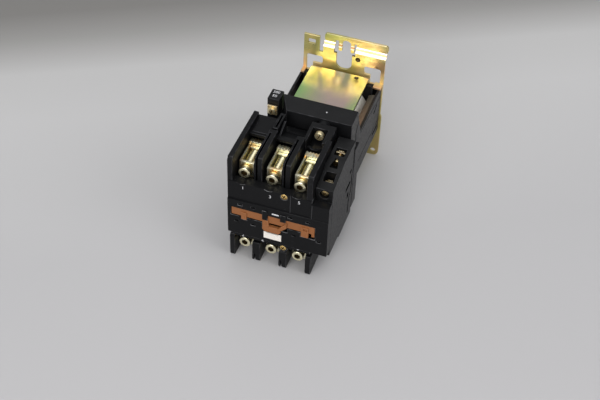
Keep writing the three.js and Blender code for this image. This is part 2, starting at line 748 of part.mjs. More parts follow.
  const driverHole = rod(
    bodyScrewX, bodyScrewZ, bodyScrewHeadRadius + gap,
    [pitFrontY - overrun, bodyScrewHeadFrontY + bodyScrewHeadLength + gap]);

  return cut(
    join(core, ...outerWalls, ...leafFronts, rearLeaf, rearLeafFoot, ...fins, rearShelf, flatRoof, roofPad,
      slopingRoof, arcRib, pitFloor, pitBack, ...pitSides, pitLeftFront, pitLedge, pitBoss, lug),
    ...chambers, beamRoom, bandRoom, ...postHoles, ...barSlots, ...slots, rearLeafCut,
    ...coverScrewHoles, bodyScrewHole, driverHole);
}
add('pole_housing', poleHousing(), blackPlastic);

// Front cover: a shell with the carrier's slot, latch holes and the tag's recess
function frontCover() {
  const panelLeftX = leftBarrier[1] + gap;
  const outer = join(
    block([-bodyHalf, bodyHalf], [0, coverDepth], [bandBottomZ, bandTopZ]),
    block([-bodyHalf, powerRightX], [bandStep, coverDepth], [bandTopZ - overrun, coverTopZ]),
    block([panelLeftX, powerRightX], [bandStep, coverDepth], [coverBottomZ, bandBottomZ + overrun]),
    block([powerRightX - overrun, bodyHalf], [bandStep * half, coverDepth], [bandTopZ - overrun, coverRightTopZ]));
  const hollowFrontY = bandStep + coverSkin;
  const hollow = join(
    block([-bodyHalf + wall, powerRightX - wall], [hollowFrontY, coverDepth + overrun],
      [bandBottomZ + wall, coverTopZ - headScoopRadius]),
    block([powerRightX - wall - overrun, bodyHalf - wall], [hollowFrontY, coverDepth + overrun],
      [bandBottomZ + wall, coverRightTopZ - wall]),
    block([-bodyHalf + wall, bodyHalf - wall], [coverSkin, coverDepth + overrun],
      [yokeSlotBottomZ - wall * half, latchHoleTopZ + wall]));
  const bosses = [coverScrewTopZ, coverScrewLowZ].map((z) => rod(
    coverScrewX, z, screwBossRadius, [hollowFrontY - coverSkin, coverDepth]));
  const trim = block(
    [-bodyHalf, powerRightX], [0, coverDepth + overrun], [coverTopZ, coverTopZ + screwBossRadius]);
  const frontRun = [-overrun, coverSkin + overrun];
  const slot = join(
    block([slotLeftX, slotRightX], frontRun, [slotBottomZ, slotTopZ]),
    block([yokeSlotLeftX, yokeSlotRightX], frontRun, [yokeSlotShoulderZ, slotTopZ]),
    block([yokeSlotLeftX, yokeSlotMiddleX], frontRun, [yokeSlotBottomZ, slotTopZ]),
    block([hookSlotLeftX, hookSlotRightX], frontRun, [hookSlotBottomZ, slotTopZ]),
    block([tabSlotLeftX, tabSlotRightX], frontRun, [tabSlotBottomZ, slotTopZ]));
  const keepers = keeperXs.map((x, i) => prismX([
    [-keeperProud, keeperLowZs[i]],
    [keeperThickness - keeperProud, keeperLowZs[i]],
    [keeperThickness - keeperProud, slotTopZ],
    [overrun, slotTopZ],
    [overrun, keeperTopZ],
    [-keeperProud, keeperTopZ],
  ], around(x, keeperHalfWidth)));
  const latchHole = (x, z) => block(
    around(x, latchHoleWidth * half), frontRun, around(z, latchHoleHeight * half));
  const latchHoles = [
    ...latchHoleTopXs.map((x) => latchHole(x, latchHoleTopZ)),
    ...latchHoleLowXs.map((x) => latchHole(x, latchHoleLowZ)),
  ];
  const tagRecess = block(
    around((tagLeftX + tagRightX) * half, (tagRightX - tagLeftX) * half + gap),
    [-overrun, tagThickness + gap], [tagBottomZ - gap, tagTopZ + gap]);
  const scoops = poleXs.map((x) => rod(
    x, powerAxisZ + terminalRise, headScoopRadius, [bandStep - overrun, coverDepth + overrun], fineSides));
  const screwHoles = [coverScrewTopZ, coverScrewLowZ].flatMap((z) => [
    rod(coverScrewX, z, coverScrewShankRadius + screwClearance, [-overrun, coverDepth + overrun], smallSides),
    rod(coverScrewX, z, coverScrewHeadRadius + screwClearance, [-overrun, bandStep + coverScrewHeadDepth + gap]),
  ]);
  return cut(join(cut(outer, hollow, slot), cut(join(...bosses), trim), ...keepers),
    ...latchHoles, tagRecess, ...scoops, ...screwHoles);
}
add('front_cover', frontCover(), blackPlastic);

// White tag in the cover's recess, with two ears on its upper edge
const tagEars = [[tagLeftX, tagLeftX + tagEarWidth], [tagRightX - tagEarWidth, tagRightX]];
add('tag', cut(
  block([tagLeftX, tagRightX], [0, tagThickness], [tagBottomZ, tagTopZ]),
  block([tagEars[0][1], tagEars[1][0]], [-overrun, tagThickness + overrun], [tagTopZ - tagEarRise, tagTopZ + overrun]),
), whitePlastic);

// Small brass screws that hold the cover
[['upper', coverScrewTopZ], ['lower', coverScrewLowZ]].forEach(([place, z]) => {
  const screw = join(
    rod(coverScrewX, z, coverScrewHeadRadius, [bandStep, bandStep + coverScrewHeadDepth]),
    rod(coverScrewX, z, coverScrewShankRadius, [bandStep + overrun, bandStep + coverScrewLength], smallSides));
  add(`cover_screw_${place}`, cut(screw, crossRecess(coverScrewX, z, bandStep, coverScrewHeadRadius)), brass);
});

// One power terminal: a bar with a fixed contact tip, and the cage round its outer end
function powerTerminal(x, side) {
  const axisZ = powerAxisZ + side * terminalRise;
  const z = (rise) => axisZ + side * rise;
  const pocketZ = powerAxisZ + side * coreRise;
  const tipZ = magnetAxisZ + side * contactReach;
  const cageSpan = span(z(cageRise), pocketZ + side * gap);
  const rearY = barFrontY + barThickness + cageRearWall;
  const cage = cut(
    block(around(x, cageHalfWidth), [cageFrontY, rearY], cageSpan),
    block(around(x, cageHalfWidth - cageSideWall), [cageFrontY + cageFrontWall, barFrontY],
      [cageSpan[0] - overrun, cageSpan[1] + overrun]),
    rod(x, axisZ, terminalShankRadius + screwClearance, [cageFrontY - overrun, barFrontY - overrun]));
  const head = block(around(x, barHeadHalfWidth), [barFrontY, barFrontY + barHeadDepth],
    span(z(cageRise - gap), z(cageRise + barHeadRise)));
  const grooveStep = (2 * barHeadHalfWidth) / (barGrooveCount + 1);
  const grooves = Array.from({ length: barGrooveCount }, (_, i) => block(
    around(x - barHeadHalfWidth + (i + 1) * grooveStep, barGrooveWidth * half),
    [barFrontY - overrun, barFrontY + barHeadDepth + overrun],
    span(z(cageRise + barHeadRise - barGrooveDepth), z(cageRise + barHeadRise + overrun))));
  const legZ = pocketZ - side * (barThickness - gap);
  const foot = block(around(x, barHalfWidth), [barFrontY, legRearY], span(legZ, legZ + side * barThickness));
  const leg = block(around(x, barHalfWidth), [legFrontY, legRearY],
    span(legZ + side * barThickness, tipZ - side * contactTipHalfHeight));
  const tip = block(around(x, contactHalfWidth), [fixedTipY, legFrontY + overrun],
    around(tipZ, contactTipHalfHeight));
  return join(cut(join(cage, head), ...grooves), foot, leg, tip);
}

// Head with a hexagon socket, shank and turned-down tip, along Y
function terminalScrew(x, z) {
  const headRear = terminalHeadY + terminalHeadLength;
  const body = join(
    rod(x, z, terminalHeadRadius, [terminalHeadY, headRear], fineSides),
    rod(x, z, terminalShankRadius, [headRear - overrun, padFrontY - gap]),
    rod(x, z, terminalTipRadius, [padFrontY - gap - overrun, padFrontY + terminalTipLength], smallSides));
  const hexRadius = hexAcrossFlats / Math.sqrt(3);
  return cut(body, rod(x, z, hexRadius, [terminalHeadY - overrun, terminalHeadY + hexDepth], 6));
}

// Pressure pad on the screw's tip
function pressurePad(x, z) {
  return cut(
    block(around(x, padHalfWidth), [padFrontY, padRearY], around(z, padHalfHeight)),
    rod(x, z, terminalTipRadius + screwClearance, [padFrontY - overrun, padFrontY + terminalTipLength + gap], smallSides));
}

sides.forEach((side) => poleXs.forEach((x, i) => {
  const place = `${sideNames[side]}_${i + 1}`;
  const z = powerAxisZ + side * terminalRise;
  add(`terminal_${place}`, powerTerminal(x, side), paleZinc);
  add(`pad_${place}`, pressurePad(x, z), paleZinc);
  add(`terminal_screw_${place}`, terminalScrew(x, z), paleZinc);
}));

// Contact carrier: band in the cover's slot, a post for each pole, cross-beam and stem
function contactCarrier() {
  const bandRearY = bandFrontY + bandThickness;
  const heights = around(magnetAxisZ, postHalfHeight);
  const frontDepth = (frontY) => [frontY, frontPieceRearY];
  const band = block([slotLeftX + bandSideGap, slotRightX - bandSideGap], [bandFrontY, bandRearY], heights);
  const hiddenArm = block([powerRightX - wall, auxRodRightX], [hiddenArmFrontY, bandRearY], heights);
  const yokeLeft = yokeSlotLeftX + bandSideGap;
  const yokeMiddle = yokeSlotMiddleX - bandSideGap;
  const yokeRight = yokeSlotRightX - bandSideGap;
  const yokeBottom = yokeSlotBottomZ + bandSideGap;
  const yokeShoulder = yokeSlotShoulderZ + bandSideGap;
  const yokeTop = keeperLowZs[0] - bandSideGap;
  const yokeInnerZ = yokeBottom + yokeBarHeight;
  const yokeShape = new THREE.Shape([
    [yokeLeft, yokeTop],
    [yokeLeft, yokeBottom + postCheek],
    [yokeLeft + postCheek, yokeBottom],
    [yokeMiddle - postCheek, yokeBottom],
    [yokeMiddle, yokeBottom + postCheek],
    [yokeMiddle, yokeShoulder],
    [yokeRight, yokeShoulder + yokeArmWidth],
    [yokeRight, keeperLowZs[1] - bandSideGap],
    [keeperXs[1] + keeperHalfWidth + bandSideGap, keeperLowZs[1] - bandSideGap],
    [yokeMiddle - postCheek, yokeInnerZ],
    [yokeLeft + yokeArmWidth + half, yokeInnerZ],
    [yokeLeft + yokeArmWidth, yokeTop],
  ].map(([x, z]) => new THREE.Vector2(x, z)));
  const yoke = prismY(yokeShape, frontDepth(yokeFrontY));
  const hookLeft = hookSlotLeftX + bandSideGap;
  const hookBottom = hookSlotBottomZ + bandSideGap;
  const hook = block([hookLeft, hookLeft + hookWidth], frontDepth(hookFrontY), [hookBottom, heights[1] - wall]);
  const hookNotch = block(
    [hookLeft + hookNotchInset, hookLeft + hookWidth - hookNotchInset * half], [hookFrontY - overrun, bandFrontY],
    [magnetAxisZ - hookNotchInset, magnetAxisZ + hookNotchInset * half]);
  const foot = block([hookSlotRightX - bandSideGap - footWidth, hookSlotRightX - bandSideGap],
    frontDepth(bandFrontY), [heights[0] - footRise, magnetAxisZ]);
  const tab = block([tabSlotLeftX + bandSideGap, tabSlotRightX - bandSideGap], frontDepth(hookFrontY),
    [tabSlotBottomZ + bandSideGap, heights[1] - footRise]);
  const posts = poleXs.map((x) => cut(
    block(around(x, postHalfWidth), [bandRearY - overrun, beamFrontY + overrun], heights),
    block(around(x, postHalfWidth - postCheek), [windowFrontY, windowRearY],
      [heights[0] - overrun, heights[1] + overrun])));
  const beam = block([poleXs[0] - postHalfWidth, poleXs[poleCount - 1] + postHalfWidth],
    [beamFrontY, beamRearY], heights);
  const stem = rod(0, magnetAxisZ, stemRadius, [beamRearY - overrun, armatureFrontY - gap]);
  const auxRod = cut(
    block([auxRodLeftX, auxRodRightX], [bandRearY - overrun, auxContactB.bridgeRearY + wall], heights),
    ...[auxContactA, auxContactB].map((contact) => block(
      around(auxScrewX, auxBridgeHalfWidth + gap), [contact.bridgeFrontY - gap, contact.bridgeRearY + gap],
      [heights[0] - overrun, heights[1] + overrun])));
  return join(cut(join(band, hook), hookNotch), hiddenArm, yoke, foot, tab, ...posts, beam, stem, auxRod);
}

// Auxiliary contacts: A closes with the poles, B opens with them
function auxContact(frontHeadY, closes) {
  const clampY = frontHeadY + auxClampOffset;
  const barFront = clampY + auxClampThickness + gap;
  const barRear = barFront + auxBarThickness;
  const tipY = closes ? barFront - auxTipThickness : barRear + auxTipThickness;
  const bridgeRearY = closes
    ? tipY - carrierTravel - gap
    : tipY + gap + auxBridgeThickness;
  return { headY: frontHeadY, clampY, barFront, barRear, tipY, closes, bridgeRearY,
    bridgeFrontY: bridgeRearY - auxBridgeThickness };
}
const auxContactA = auxContact(auxFrontHeadY, true);
const auxContactB = auxContact(auxRearHeadY, false);

add('contact_carrier', contactCarrier(), brownPlastic);

// Armature plate on the end of the carrier's stem
add('armature', block(
  around(0, armatureHalfWidth), [armatureFrontY, armatureRearY], around(magnetAxisZ, armatureHalfHeight)), steel);

// Moving contact bridges with a tip at each end, and the springs that press on them
poleXs.forEach((x, i) => {
  const bar = block(around(x, bridgeHalfWidth), [bridgeFrontY, bridgeFrontY + bridgeThickness],
    around(magnetAxisZ, contactReach + contactTipHalfHeight));
  const tips = sides.map((side) => block(around(x, bridgeHalfWidth),
    [bridgeFrontY + bridgeThickness - overrun, bridgeTipY],
    around(magnetAxisZ + side * contactReach, contactTipHalfHeight)));
  add(`moving_contact_${i + 1}`, join(bar, ...tips), copper);
  const coil = spring(`contact_spring_${i + 1}`, contactSpringRadius, contactSpringWire, contactSpringTurns,
    [windowFrontY + gap, bridgeFrontY - gap]);
  add(`contact_spring_${i + 1}`, coil.translate([x, 0, magnetAxisZ]), steel);
});

// Spring that pushes the carrier forward again, round the stem
add('return_spring', spring('return_spring', returnSpringRadius, returnSpringWire, returnSpringTurns,
  [beamRearY + gap, frameFrontY - gap]).translate([0, 0, magnetAxisZ]), steel);

// Auxiliary block: case with a pit and a screw hole for each terminal
const auxTerminals = [
  { name: 'upper_front', contact: auxContactA, side: 1, z: auxFrontScrewTopZ },
  { name: 'upper_rear', contact: auxContactB, side: 1, z: auxRearScrewTopZ },
  { name: 'lower_front', contact: auxContactA, side: -1, z: auxFrontScrewLowZ },
  { name: 'lower_rear', contact: auxContactB, side: -1, z: auxRearScrewLowZ },
];
const auxLeftX = powerRightX + gap;

function auxCase() {
  const outline = [
    [housingFrontY, auxFrontBottomZ],
    [auxBottomStepY - wall, auxFrontBottomZ],
    [auxBottomStepY, auxRearBottomZ],
    [auxRearY, auxRearBottomZ],
    [auxRearY, auxRearTopZ - wall * half],
    [auxSlopeRearY, auxRearTopZ],
    [housingFrontY, auxFrontTopZ],
  ];
  const body = prismX(outline, [auxLeftX, bodyHalf]);
  const room = block([auxLeftX + auxWall, bodyHalf - auxWall],
    [housingFrontY + bandRoomDepth, auxRearY + overrun],
    [magnetAxisZ - auxContactReach - wall - wall, magnetAxisZ + auxContactReach + wall + wall]);
  const rodRoom = block([auxLeftX - overrun, auxRodRightX + gap + gap],
    [housingFrontY - overrun, housingFrontY + bandRoomDepth + overrun], around(magnetAxisZ, postHalfHeight + wall));
  const terminalCuts = auxTerminals.flatMap(({ contact, side, z }) => {
    const outerZ = side > 0 ? auxRearTopZ + overrun : auxRearBottomZ - overrun;
    const pit = block(around(auxScrewX, auxPitHalfWidth),
      [contact.clampY - auxPitLength * half, contact.clampY + auxPitLength * half],
      span(z - side * auxPitDepth * half, outerZ));
    const headHole = rod(auxScrewX, z, auxHoleRadius,
      [contact.closes ? housingFrontY - overrun : contact.headY - auxPitDepth, contact.headY + auxHeadLength + gap]);
    const shankHole = rod(auxScrewX, z, auxShankRadius + screwClearance,
      [contact.headY, contact.barRear + overrun + overrun], smallSides);
    const barSlot = block(around(auxScrewX, auxBarHalfWidth + gap), [contact.barFront - gap, contact.barRear + gap],
      span(z + side * (auxClampHalfHeight + gap), magnetAxisZ));
    return [pit, headHole, shankHole, barSlot];
  });
  return cut(body, room, rodRoom, ...terminalCuts);
}
add('aux_case', auxCase(), blackPlastic);

auxTerminals.forEach(({ name, contact, side, z }) => {
  const tipZ = magnetAxisZ + side * auxContactReach;
  const bar = block(around(auxScrewX, auxBarHalfWidth), [contact.barFront, contact.barRear],
    span(z + side * auxClampHalfHeight, tipZ - side * auxTipHalfHeight));
  const tipSpan = contact.closes
    ? [contact.tipY, contact.barFront + overrun * half]
    : [contact.barRear - overrun * half, contact.tipY];
  const tip = block(around(auxScrewX, auxBarHalfWidth), tipSpan, around(tipZ, auxTipHalfHeight));
  add(`aux_terminal_${name}`, cut(join(bar, tip),
    rod(auxScrewX, z, auxShankRadius + screwClearance, [contact.barFront - overrun, contact.barRear + overrun], smallSides),
  ), paleZinc);
  const clamp = cut(
    block(around(auxScrewX, auxClampHalfWidth), [contact.clampY, contact.clampY + auxClampThickness],
      around(z, auxClampHalfHeight)),
    rod(auxScrewX, z, auxShankRadius + screwClearance,
      [contact.clampY - overrun, contact.clampY + auxClampThickness + overrun], smallSides));
  add(`aux_clamp_${name}`, clamp, paleZinc);
  const headRear = contact.headY + auxHeadLength;
  const screw = join(
    rod(auxScrewX, z, auxHeadRadius, [contact.headY, headRear], smallSides),
    rod(auxScrewX, z, auxShankRadius, [headRear - overrun, contact.barRear + overrun], smallSides),
    rod(auxScrewX, z, auxCollarRadius, [contact.clampY - gap - auxCollarLength, contact.clampY - gap], smallSides));
  add(`aux_screw_${name}`, cut(screw, crossRecess(auxScrewX, z, contact.headY, auxHeadRadius)), brass);
});

[['front', auxContactA], ['rear', auxContactB]].forEach(([place, contact]) => {
  const bridge = block(around(auxScrewX, auxBridgeHalfWidth), [contact.bridgeFrontY, contact.bridgeRearY],
    around(magnetAxisZ, auxContactReach + auxTipHalfHeight));
  add(`aux_bridge_${place}`, bridge, copper);
});

// Magnet housing: flange and frame behind the poles, cross-bar, and open trough for the coil
function magnetHousing() {
  const flange = block([-bodyHalf, bodyHalf], [frameFrontY, flangeRearY], [flangeBottomZ, flangeTopZ]);
  const frame = block(around(0, frameHalfWidth), [frameFrontY, frameRearY], [frameBottomZ, flangeTopZ]);
  const frameTop = prismX([
    [crossBarFrontY, troughTopZ],
    [frameRearY - overrun, troughTopZ],
    [barRearY, crossBarTopZ - wall * wall],
    [barRearY, crossBarTopZ],
    [crossBarFrontY, crossBarTopZ],
  ], around(0, frameHalfWidth));
  const trough = block(around(0, frameHalfWidth), [flangeRearY, troughRearY], [troughBottomZ, troughTopZ]);
  const cavity = block(around(0, cavityHalfWidth),
    [frameFrontY + troughRearWall, troughRearY - troughRearWall], [cavityBottomZ, cavityTopZ]);
  const openTop = block(around(0, cavityHalfWidth),
    [barRearY, troughRearY - troughRearWall], [troughBottomZ, crossBarTopZ + overrun]);
  const openRear = block(around(0, cavityHalfWidth),
    [frameRearY - wall, troughRearY - troughRearWall], [frameBottomZ - overrun, crossBarTopZ]);
  const stepRear = block(around(0, frameHalfWidth + overrun),
    [frameRearY - wall * half, troughRearY + overrun], [troughTopZ, crossBarTopZ + overrun]);
  const slopeRear = prismX([
    [barRearY, crossBarTopZ + overrun],
    [barRearY, crossBarTopZ - wall - wall],
    [frameRearY, troughTopZ],
    [frameRearY + overrun, crossBarTopZ + overrun],
  ], around(0, frameHalfWidth + overrun));
  const stemHole = rod(0, magnetAxisZ, stemHoleRadius - wall, [frameFrontY - overrun, frameFrontY + troughRearWall + overrun]);
  const earNotch = (side) => block(
    [-frameHalfWidth - overrun, crossBarLeftX],
    [frameFrontY + troughRearWall, barRearY + overrun + overrun + bobbinFlange],
    span(magnetAxisZ + side * (earInner + wall),
      side > 0 ? crossBarTopZ + wall : magnetAxisZ - earReach - wall));
  const cornerShape = new THREE.Shape([
    new THREE.Vector2(crossBarLeftX - overrun, crossBarFrontY - overrun),
    new THREE.Vector2(crossBarCornerX, crossBarFrontY - overrun),
    new THREE.Vector2(crossBarCornerX, crossBarFrontY),
    new THREE.Vector2(crossBarLeftX, barRearY),
    new THREE.Vector2(crossBarLeftX - overrun, barRearY),
  ]);
  const cornerGeometry = new THREE.ExtrudeGeometry(cornerShape, { depth: crossBarTopZ, bevelEnabled: false });
  cornerGeometry.translate(0, 0, cavityTopZ + wall);
  const corner = solid(cornerGeometry);
  const screwHole = rod(bodyScrewX, bodyScrewZ, bodyScrewShankRadius + screwClearance,
    [crossBarFrontY - overrun, bodyScrewEndY + overrun], smallSides);
  return cut(join(flange, frame, frameTop, trough),
    cavity, openTop, openRear, stepRear, slopeRear, stemHole, earNotch(1), earNotch(-1), corner, screwHole);
}
add('magnet_housing', magnetHousing(), blackPlastic);

// Magnet: yoke of three plates in one, and the core inside the coil
add('magnet_yoke', cut(
  block(around(0, yokeHalfWidth), [magnetFrontY, yokeRearY], around(magnetAxisZ, yokeHalfHeight)),
  block(around(0, yokeHalfWidth + overrun), [magnetFrontY - overrun, yokeRearY - yokeThickness],
    around(magnetAxisZ, yokeHalfHeight - yokeThickness))), yellowZinc);
add('magnet_core', rod(0, magnetAxisZ, coreRadius, [magnetFrontY, yokeRearY - yokeThickness - gap]), steel);

// Coil: bobbin with its two terminal ears, and the taped winding
function coilBobbin() {
  const boreRadius = coreRadius + boreClearance;
  const tube = rod(0, magnetAxisZ, boreRadius + bobbinWall, [bobbinFrontY, bobbinRearY], fineSides);
  const flanges = [[bobbinFrontY, bobbinFrontY + bobbinFlange], [bobbinRearY - bobbinFlange, bobbinRearY]].map(
    (range) => prismY(roundedRectangle(
      around(0, bobbinHalfWidth), around(magnetAxisZ, bobbinHalfHeight), wall), range));
  const ears = sides.map((side) => join(
    block([earLeftX, earRightX], [earFrontY, barRearY + gap + bobbinFlange],
      span(magnetAxisZ + side * (earInner + wall + gap), magnetAxisZ + side * earReach)),
    block([-bobbinHalfWidth - overrun, earRightX], [bobbinFrontY, bobbinFrontY + bobbinFlange],
      span(magnetAxisZ + side * (earInner - wall), magnetAxisZ + side * (earInner + wall + wall)))));
  const screwHoles = sides.map((side) => rod(
    (earLeftX + earRightX) * half, magnetAxisZ + side * earScrewReach, coilShankRadius + screwClearance,
    [earFrontY - overrun, earFrontY + coilShankLength], smallSides));
  return cut(join(tube, ...flanges, ...ears),
    rod(0, magnetAxisZ, boreRadius, [bobbinFrontY - overrun, bobbinRearY + overrun], fineSides), ...screwHoles);
}
add('coil_bobbin', coilBobbin(), blackPlastic);
add('coil_winding', cut(
  rod(0, magnetAxisZ, windingRadius, [bobbinFrontY + bobbinFlange + gap, bobbinRearY - bobbinFlange - gap], fineSides + smallSides),
  rod(0, magnetAxisZ, coreRadius + boreClearance + bobbinWall + gap,
    [bobbinFrontY, bobbinRearY], fineSides)), creamTape);

// Coil terminals: a clamp under a brass screw on the front of each ear
[['upper', 1], ['lower', -1]].forEach(([place, side]) => {
  const x = (earLeftX + earRightX) * half;
  const z = magnetAxisZ + side * earScrewReach;
  const clampRearY = earFrontY - coilClampGap;
  const clampFrontY = clampRearY - coilClampThickness;
  const clamp = cut(
    block(around(x, coilClampHalfWidth), [clampFrontY, clampRearY], around(z, coilClampHalfHeight)),
    rod(x, z, coilShankRadius + screwClearance, [clampFrontY - overrun, clampRearY + overrun], smallSides));
  add(`coil_clamp_${place}`, clamp, paleZinc);
  const headRearY = clampFrontY - gap;
  const headFrontY = headRearY - coilHeadLength;
  const screw = join(
    rod(x, z, coilHeadRadius, [headFrontY, headRearY]),
    rod(x, z, coilShankRadius, [headRearY - overrun, earFrontY + coilShankLength - overrun], smallSides));
  add(`coil_screw_${place}`, cut(screw, crossRecess(x, z, headFrontY, coilHeadRadius)), brass);
});

// Body screw that draws the pole housing to the magnet housing's cross-bar
add('body_screw', cut(
  join(
    rod(bodyScrewX, bodyScrewZ, bodyScrewHeadRadius, [bodyScrewHeadFrontY, bodyScrewHeadFrontY + bodyScrewHeadLength]),
    rod(bodyScrewX, bodyScrewZ, bodyScrewShankRadius, [bodyScrewHeadFrontY + overrun, bodyScrewEndY], smallSides)),
  crossRecess(bodyScrewX, bodyScrewZ, bodyScrewHeadFrontY, bodyScrewHeadRadius)), paleZinc);

// Mounting plate: pressed sheet with ear, hook lip and tongues, windows and latch guides
function mountingPlate() {
  const sheet = [plateFrontY, plateRearY];
  const through = [plateFrontY - overrun, plateRearY + overrun];
  const lipSheet = [lipFrontY, lipRearY];
  const base = join(
    prismY(roundedRectangle([plateLeftX, plateRightX], [0, plateShoulderZ + plateCornerRadius], plateCornerRadius), sheet),
    prismY(roundedRectangle([plateLeftX, plateFootRightX], [0, plateFootTopZ], plateCornerRadius), sheet));
  const ear = block([plateLeftX, earPlateRightX], sheet, [plateShoulderZ, earPlateTopZ]);
  const leftArm = block([joggleLeftX, recessLeftX], sheet, [windowBottomZ, joggleBottomZ]);
  const rightArm = block([recessRightX, plateRightX], sheet, [plateShoulderZ, joggleBottomZ]);
  const web = (range) => prismX([
    [plateFrontY, joggleBottomZ],
    [plateRearY, joggleBottomZ],
    [lipRearY, joggleBottomZ + joggleRise],
    [lipFrontY, joggleBottomZ + joggleRise],
  ], range);
  const webs = [web([joggleLeftX, joggleLeftInnerX]), web([joggleRightInnerX, lipRightX - wall * half])];
  const lip = cut(
    prismY(roundedRectangle([joggleLeftX, lipRightX],
      [joggleBottomZ + joggleRise, lipTopZ], plateCornerRadius * half), lipSheet),
    block([joggleLeftInnerX, joggleRightInnerX], [lipFrontY - overrun, lipRearY + overrun],
      [joggleBottomZ, lipLowZ]));
  const tongues = [tongueLeftX, tongueRightX].map((x) => prismY(
    roundedRectangle(around(x, tongueWidth * half), [tongueTipZ, lipLowZ + wall], tongueWidth * half * roundShare),
    lipSheet));
  const archHalfWidth = (tongueRightX - tongueLeftX - tongueWidth) * half;
  const arch = prismY(roundedRectangle(
    around((tongueLeftX + tongueRightX) * half, archHalfWidth),
    [lipLowZ - plateCornerRadius * 2, archTopZ], archHalfWidth * roundShare), [lipFrontY - overrun, lipRearY + overrun]);
  const tabRanges = [[plateLeftX, plateLeftX + clipTabLeftWidth], [plateRightX - clipTabRightWidth, plateRightX]];
  const tabs = tabRanges.map((range) => block(
    range, [plateFrontY - clipTabDepth, plateFrontY + overrun], [clipTabZ, clipTabZ + plateThickness]));
  const guides = guideZs.map((z) => {
    const heights = around(z, guideHeight * half);
    const inner = latchHalfWidth + gap;
    const outer = inner + guideFoot;
    return cut(
      block([-outer, outer], [plateRearY - overrun, guideRearY], heights),
      block([-inner, inner], [plateRearY, latchRearY + gap], [heights[0] - overrun, heights[1] + overrun]));
  });
  const lug = block(around(0, latchWindowHalfWidth - gap - gap), [plateFrontY, latchRearY],
    [latchWindowBottomZ + gap, latchWindowBottomZ + gap + latchLugHeight]);

  const windows = [
    prismY(roundedRectangle([windowLeftX, windowLeftInnerX], [windowBottomZ, plateShoulderZ], wall), through),
    block([windowLeftX, windowFootLeftX], through, [windowFootZ, windowBottomZ + wall]),
    prismY(roundedRectangle([windowRightInnerX, windowRightX], [windowBottomZ, plateShoulderZ], wall), through),
    block([windowFootRightX, windowRightX], through, [windowFootZ, windowBottomZ + wall]),
  ];
  const recess = prismY(roundedRectangle(
    [recessLeftX, recessRightX], [recessBottomZ, lipTopZ], (recessRightX - recessLeftX) * half * roundShare), through);
  const recessTop = block([recessLeftX, recessRightX], through, [plateShoulderZ, lipTopZ]);
  const earHole = prismY(roundedRectangle(
    [earHoleLeftX, earHoleRightX], [earHoleBottomZ, earHoleTopZ], wall * half), through);
  const earGap = block([earPlateRightX, joggleLeftX], through, [plateShoulderZ + plateCornerRadius, lipTopZ]);
  const footHole = rod(footHoleX, footHoleZ, footHoleRadius, through, smallSides);
  const springWindow = block(around(0, latchWindowHalfWidth), through,
    [latchWindowBottomZ + gap + latchLugHeight, latchWindowTopZ + overrun]);
  return join(
    cut(join(base, ear, leftArm, rightArm), ...windows, recess, recessTop, earHole, earGap, footHole, springWindow),
    ...webs, cut(join(lip, ...tongues), arch), ...tabs, ...guides, lug);
}
add('mounting_plate', mountingPlate(), yellowZinc);

// Rail latch: slides on the plate's back, its tooth behind the rail's lower flange
function railLatch() {
  const railBottomZ = railTopZ - railHeight;
  const toothTopZ = railBottomZ + latchToothOverlap;
  const strip = [plateRearY + gap, latchRearY];
  const body = join(
    block(around(0, latchHalfWidth), strip, [latchBottomZ, toothTopZ - latchToothOverlap - wall]),
    block(around(0, latchToothHalfWidth), [strip[0], toothRearY],
      [toothTopZ - latchToothHeight, railBottomZ - gap - overrun]),
    block(around(0, latchToothHalfWidth), [latchRearY - latchThickness + latchToothDepth, toothRearY],
      [toothTopZ - latchToothHeight, toothTopZ]));
  return cut(body,
    block(around(0, latchWindowHalfWidth), [strip[0] - overrun, strip[1] + overrun],
      [latchWindowBottomZ, latchWindowTopZ]),
    rod(0, latchPullZ, latchPullRadius, [strip[0] - overrun, strip[1] + overrun], smallSides));
}
add('rail_latch', railLatch(), yellowZinc);

// Spring between the plate's lug and the upper end of the latch's window
const latchSpringZs = [latchWindowBottomZ + gap + latchLugHeight + gap, latchWindowTopZ - gap];
const latchSpring = spring(
  'latch_spring', latchSpringRadius, latchSpringWire, latchSpringTurns, [0, latchSpringZs[1] - latchSpringZs[0]]);
add('latch_spring', latchSpring
  .rotate([90, 0, 0])
  .translate([0, (plateFrontY + latchRearY) * half, latchSpringZs[0]]), steel);

export default device;
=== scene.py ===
# A contactor for a top-hat rail, dressed piece by piece over its drawn frame.
# Sizes are in millimetres, counted back from the front face, and place() puts them in the frame's metres.
import bpy
import bmesh
import math
from mathutils import Matrix, Vector
from mathutils.bvhtree import BVHTree


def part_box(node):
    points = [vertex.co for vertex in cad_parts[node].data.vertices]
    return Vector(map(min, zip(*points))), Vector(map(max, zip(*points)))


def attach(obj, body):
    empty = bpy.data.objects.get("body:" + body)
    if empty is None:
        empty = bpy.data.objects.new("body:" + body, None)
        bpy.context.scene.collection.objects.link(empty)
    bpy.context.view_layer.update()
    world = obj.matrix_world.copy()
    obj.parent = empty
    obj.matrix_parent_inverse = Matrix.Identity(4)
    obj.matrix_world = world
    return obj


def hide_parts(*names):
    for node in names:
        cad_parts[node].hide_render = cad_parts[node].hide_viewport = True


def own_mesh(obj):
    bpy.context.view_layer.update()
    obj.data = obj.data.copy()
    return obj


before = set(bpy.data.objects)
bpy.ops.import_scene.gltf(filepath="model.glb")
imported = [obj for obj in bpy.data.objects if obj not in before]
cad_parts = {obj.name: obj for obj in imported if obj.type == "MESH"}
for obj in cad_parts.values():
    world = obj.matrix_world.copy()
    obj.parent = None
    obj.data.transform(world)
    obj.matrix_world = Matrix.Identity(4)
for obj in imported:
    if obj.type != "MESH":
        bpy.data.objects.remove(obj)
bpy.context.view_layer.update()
MM = 0.001
FRONT_TO_MIDDLE = 86.2


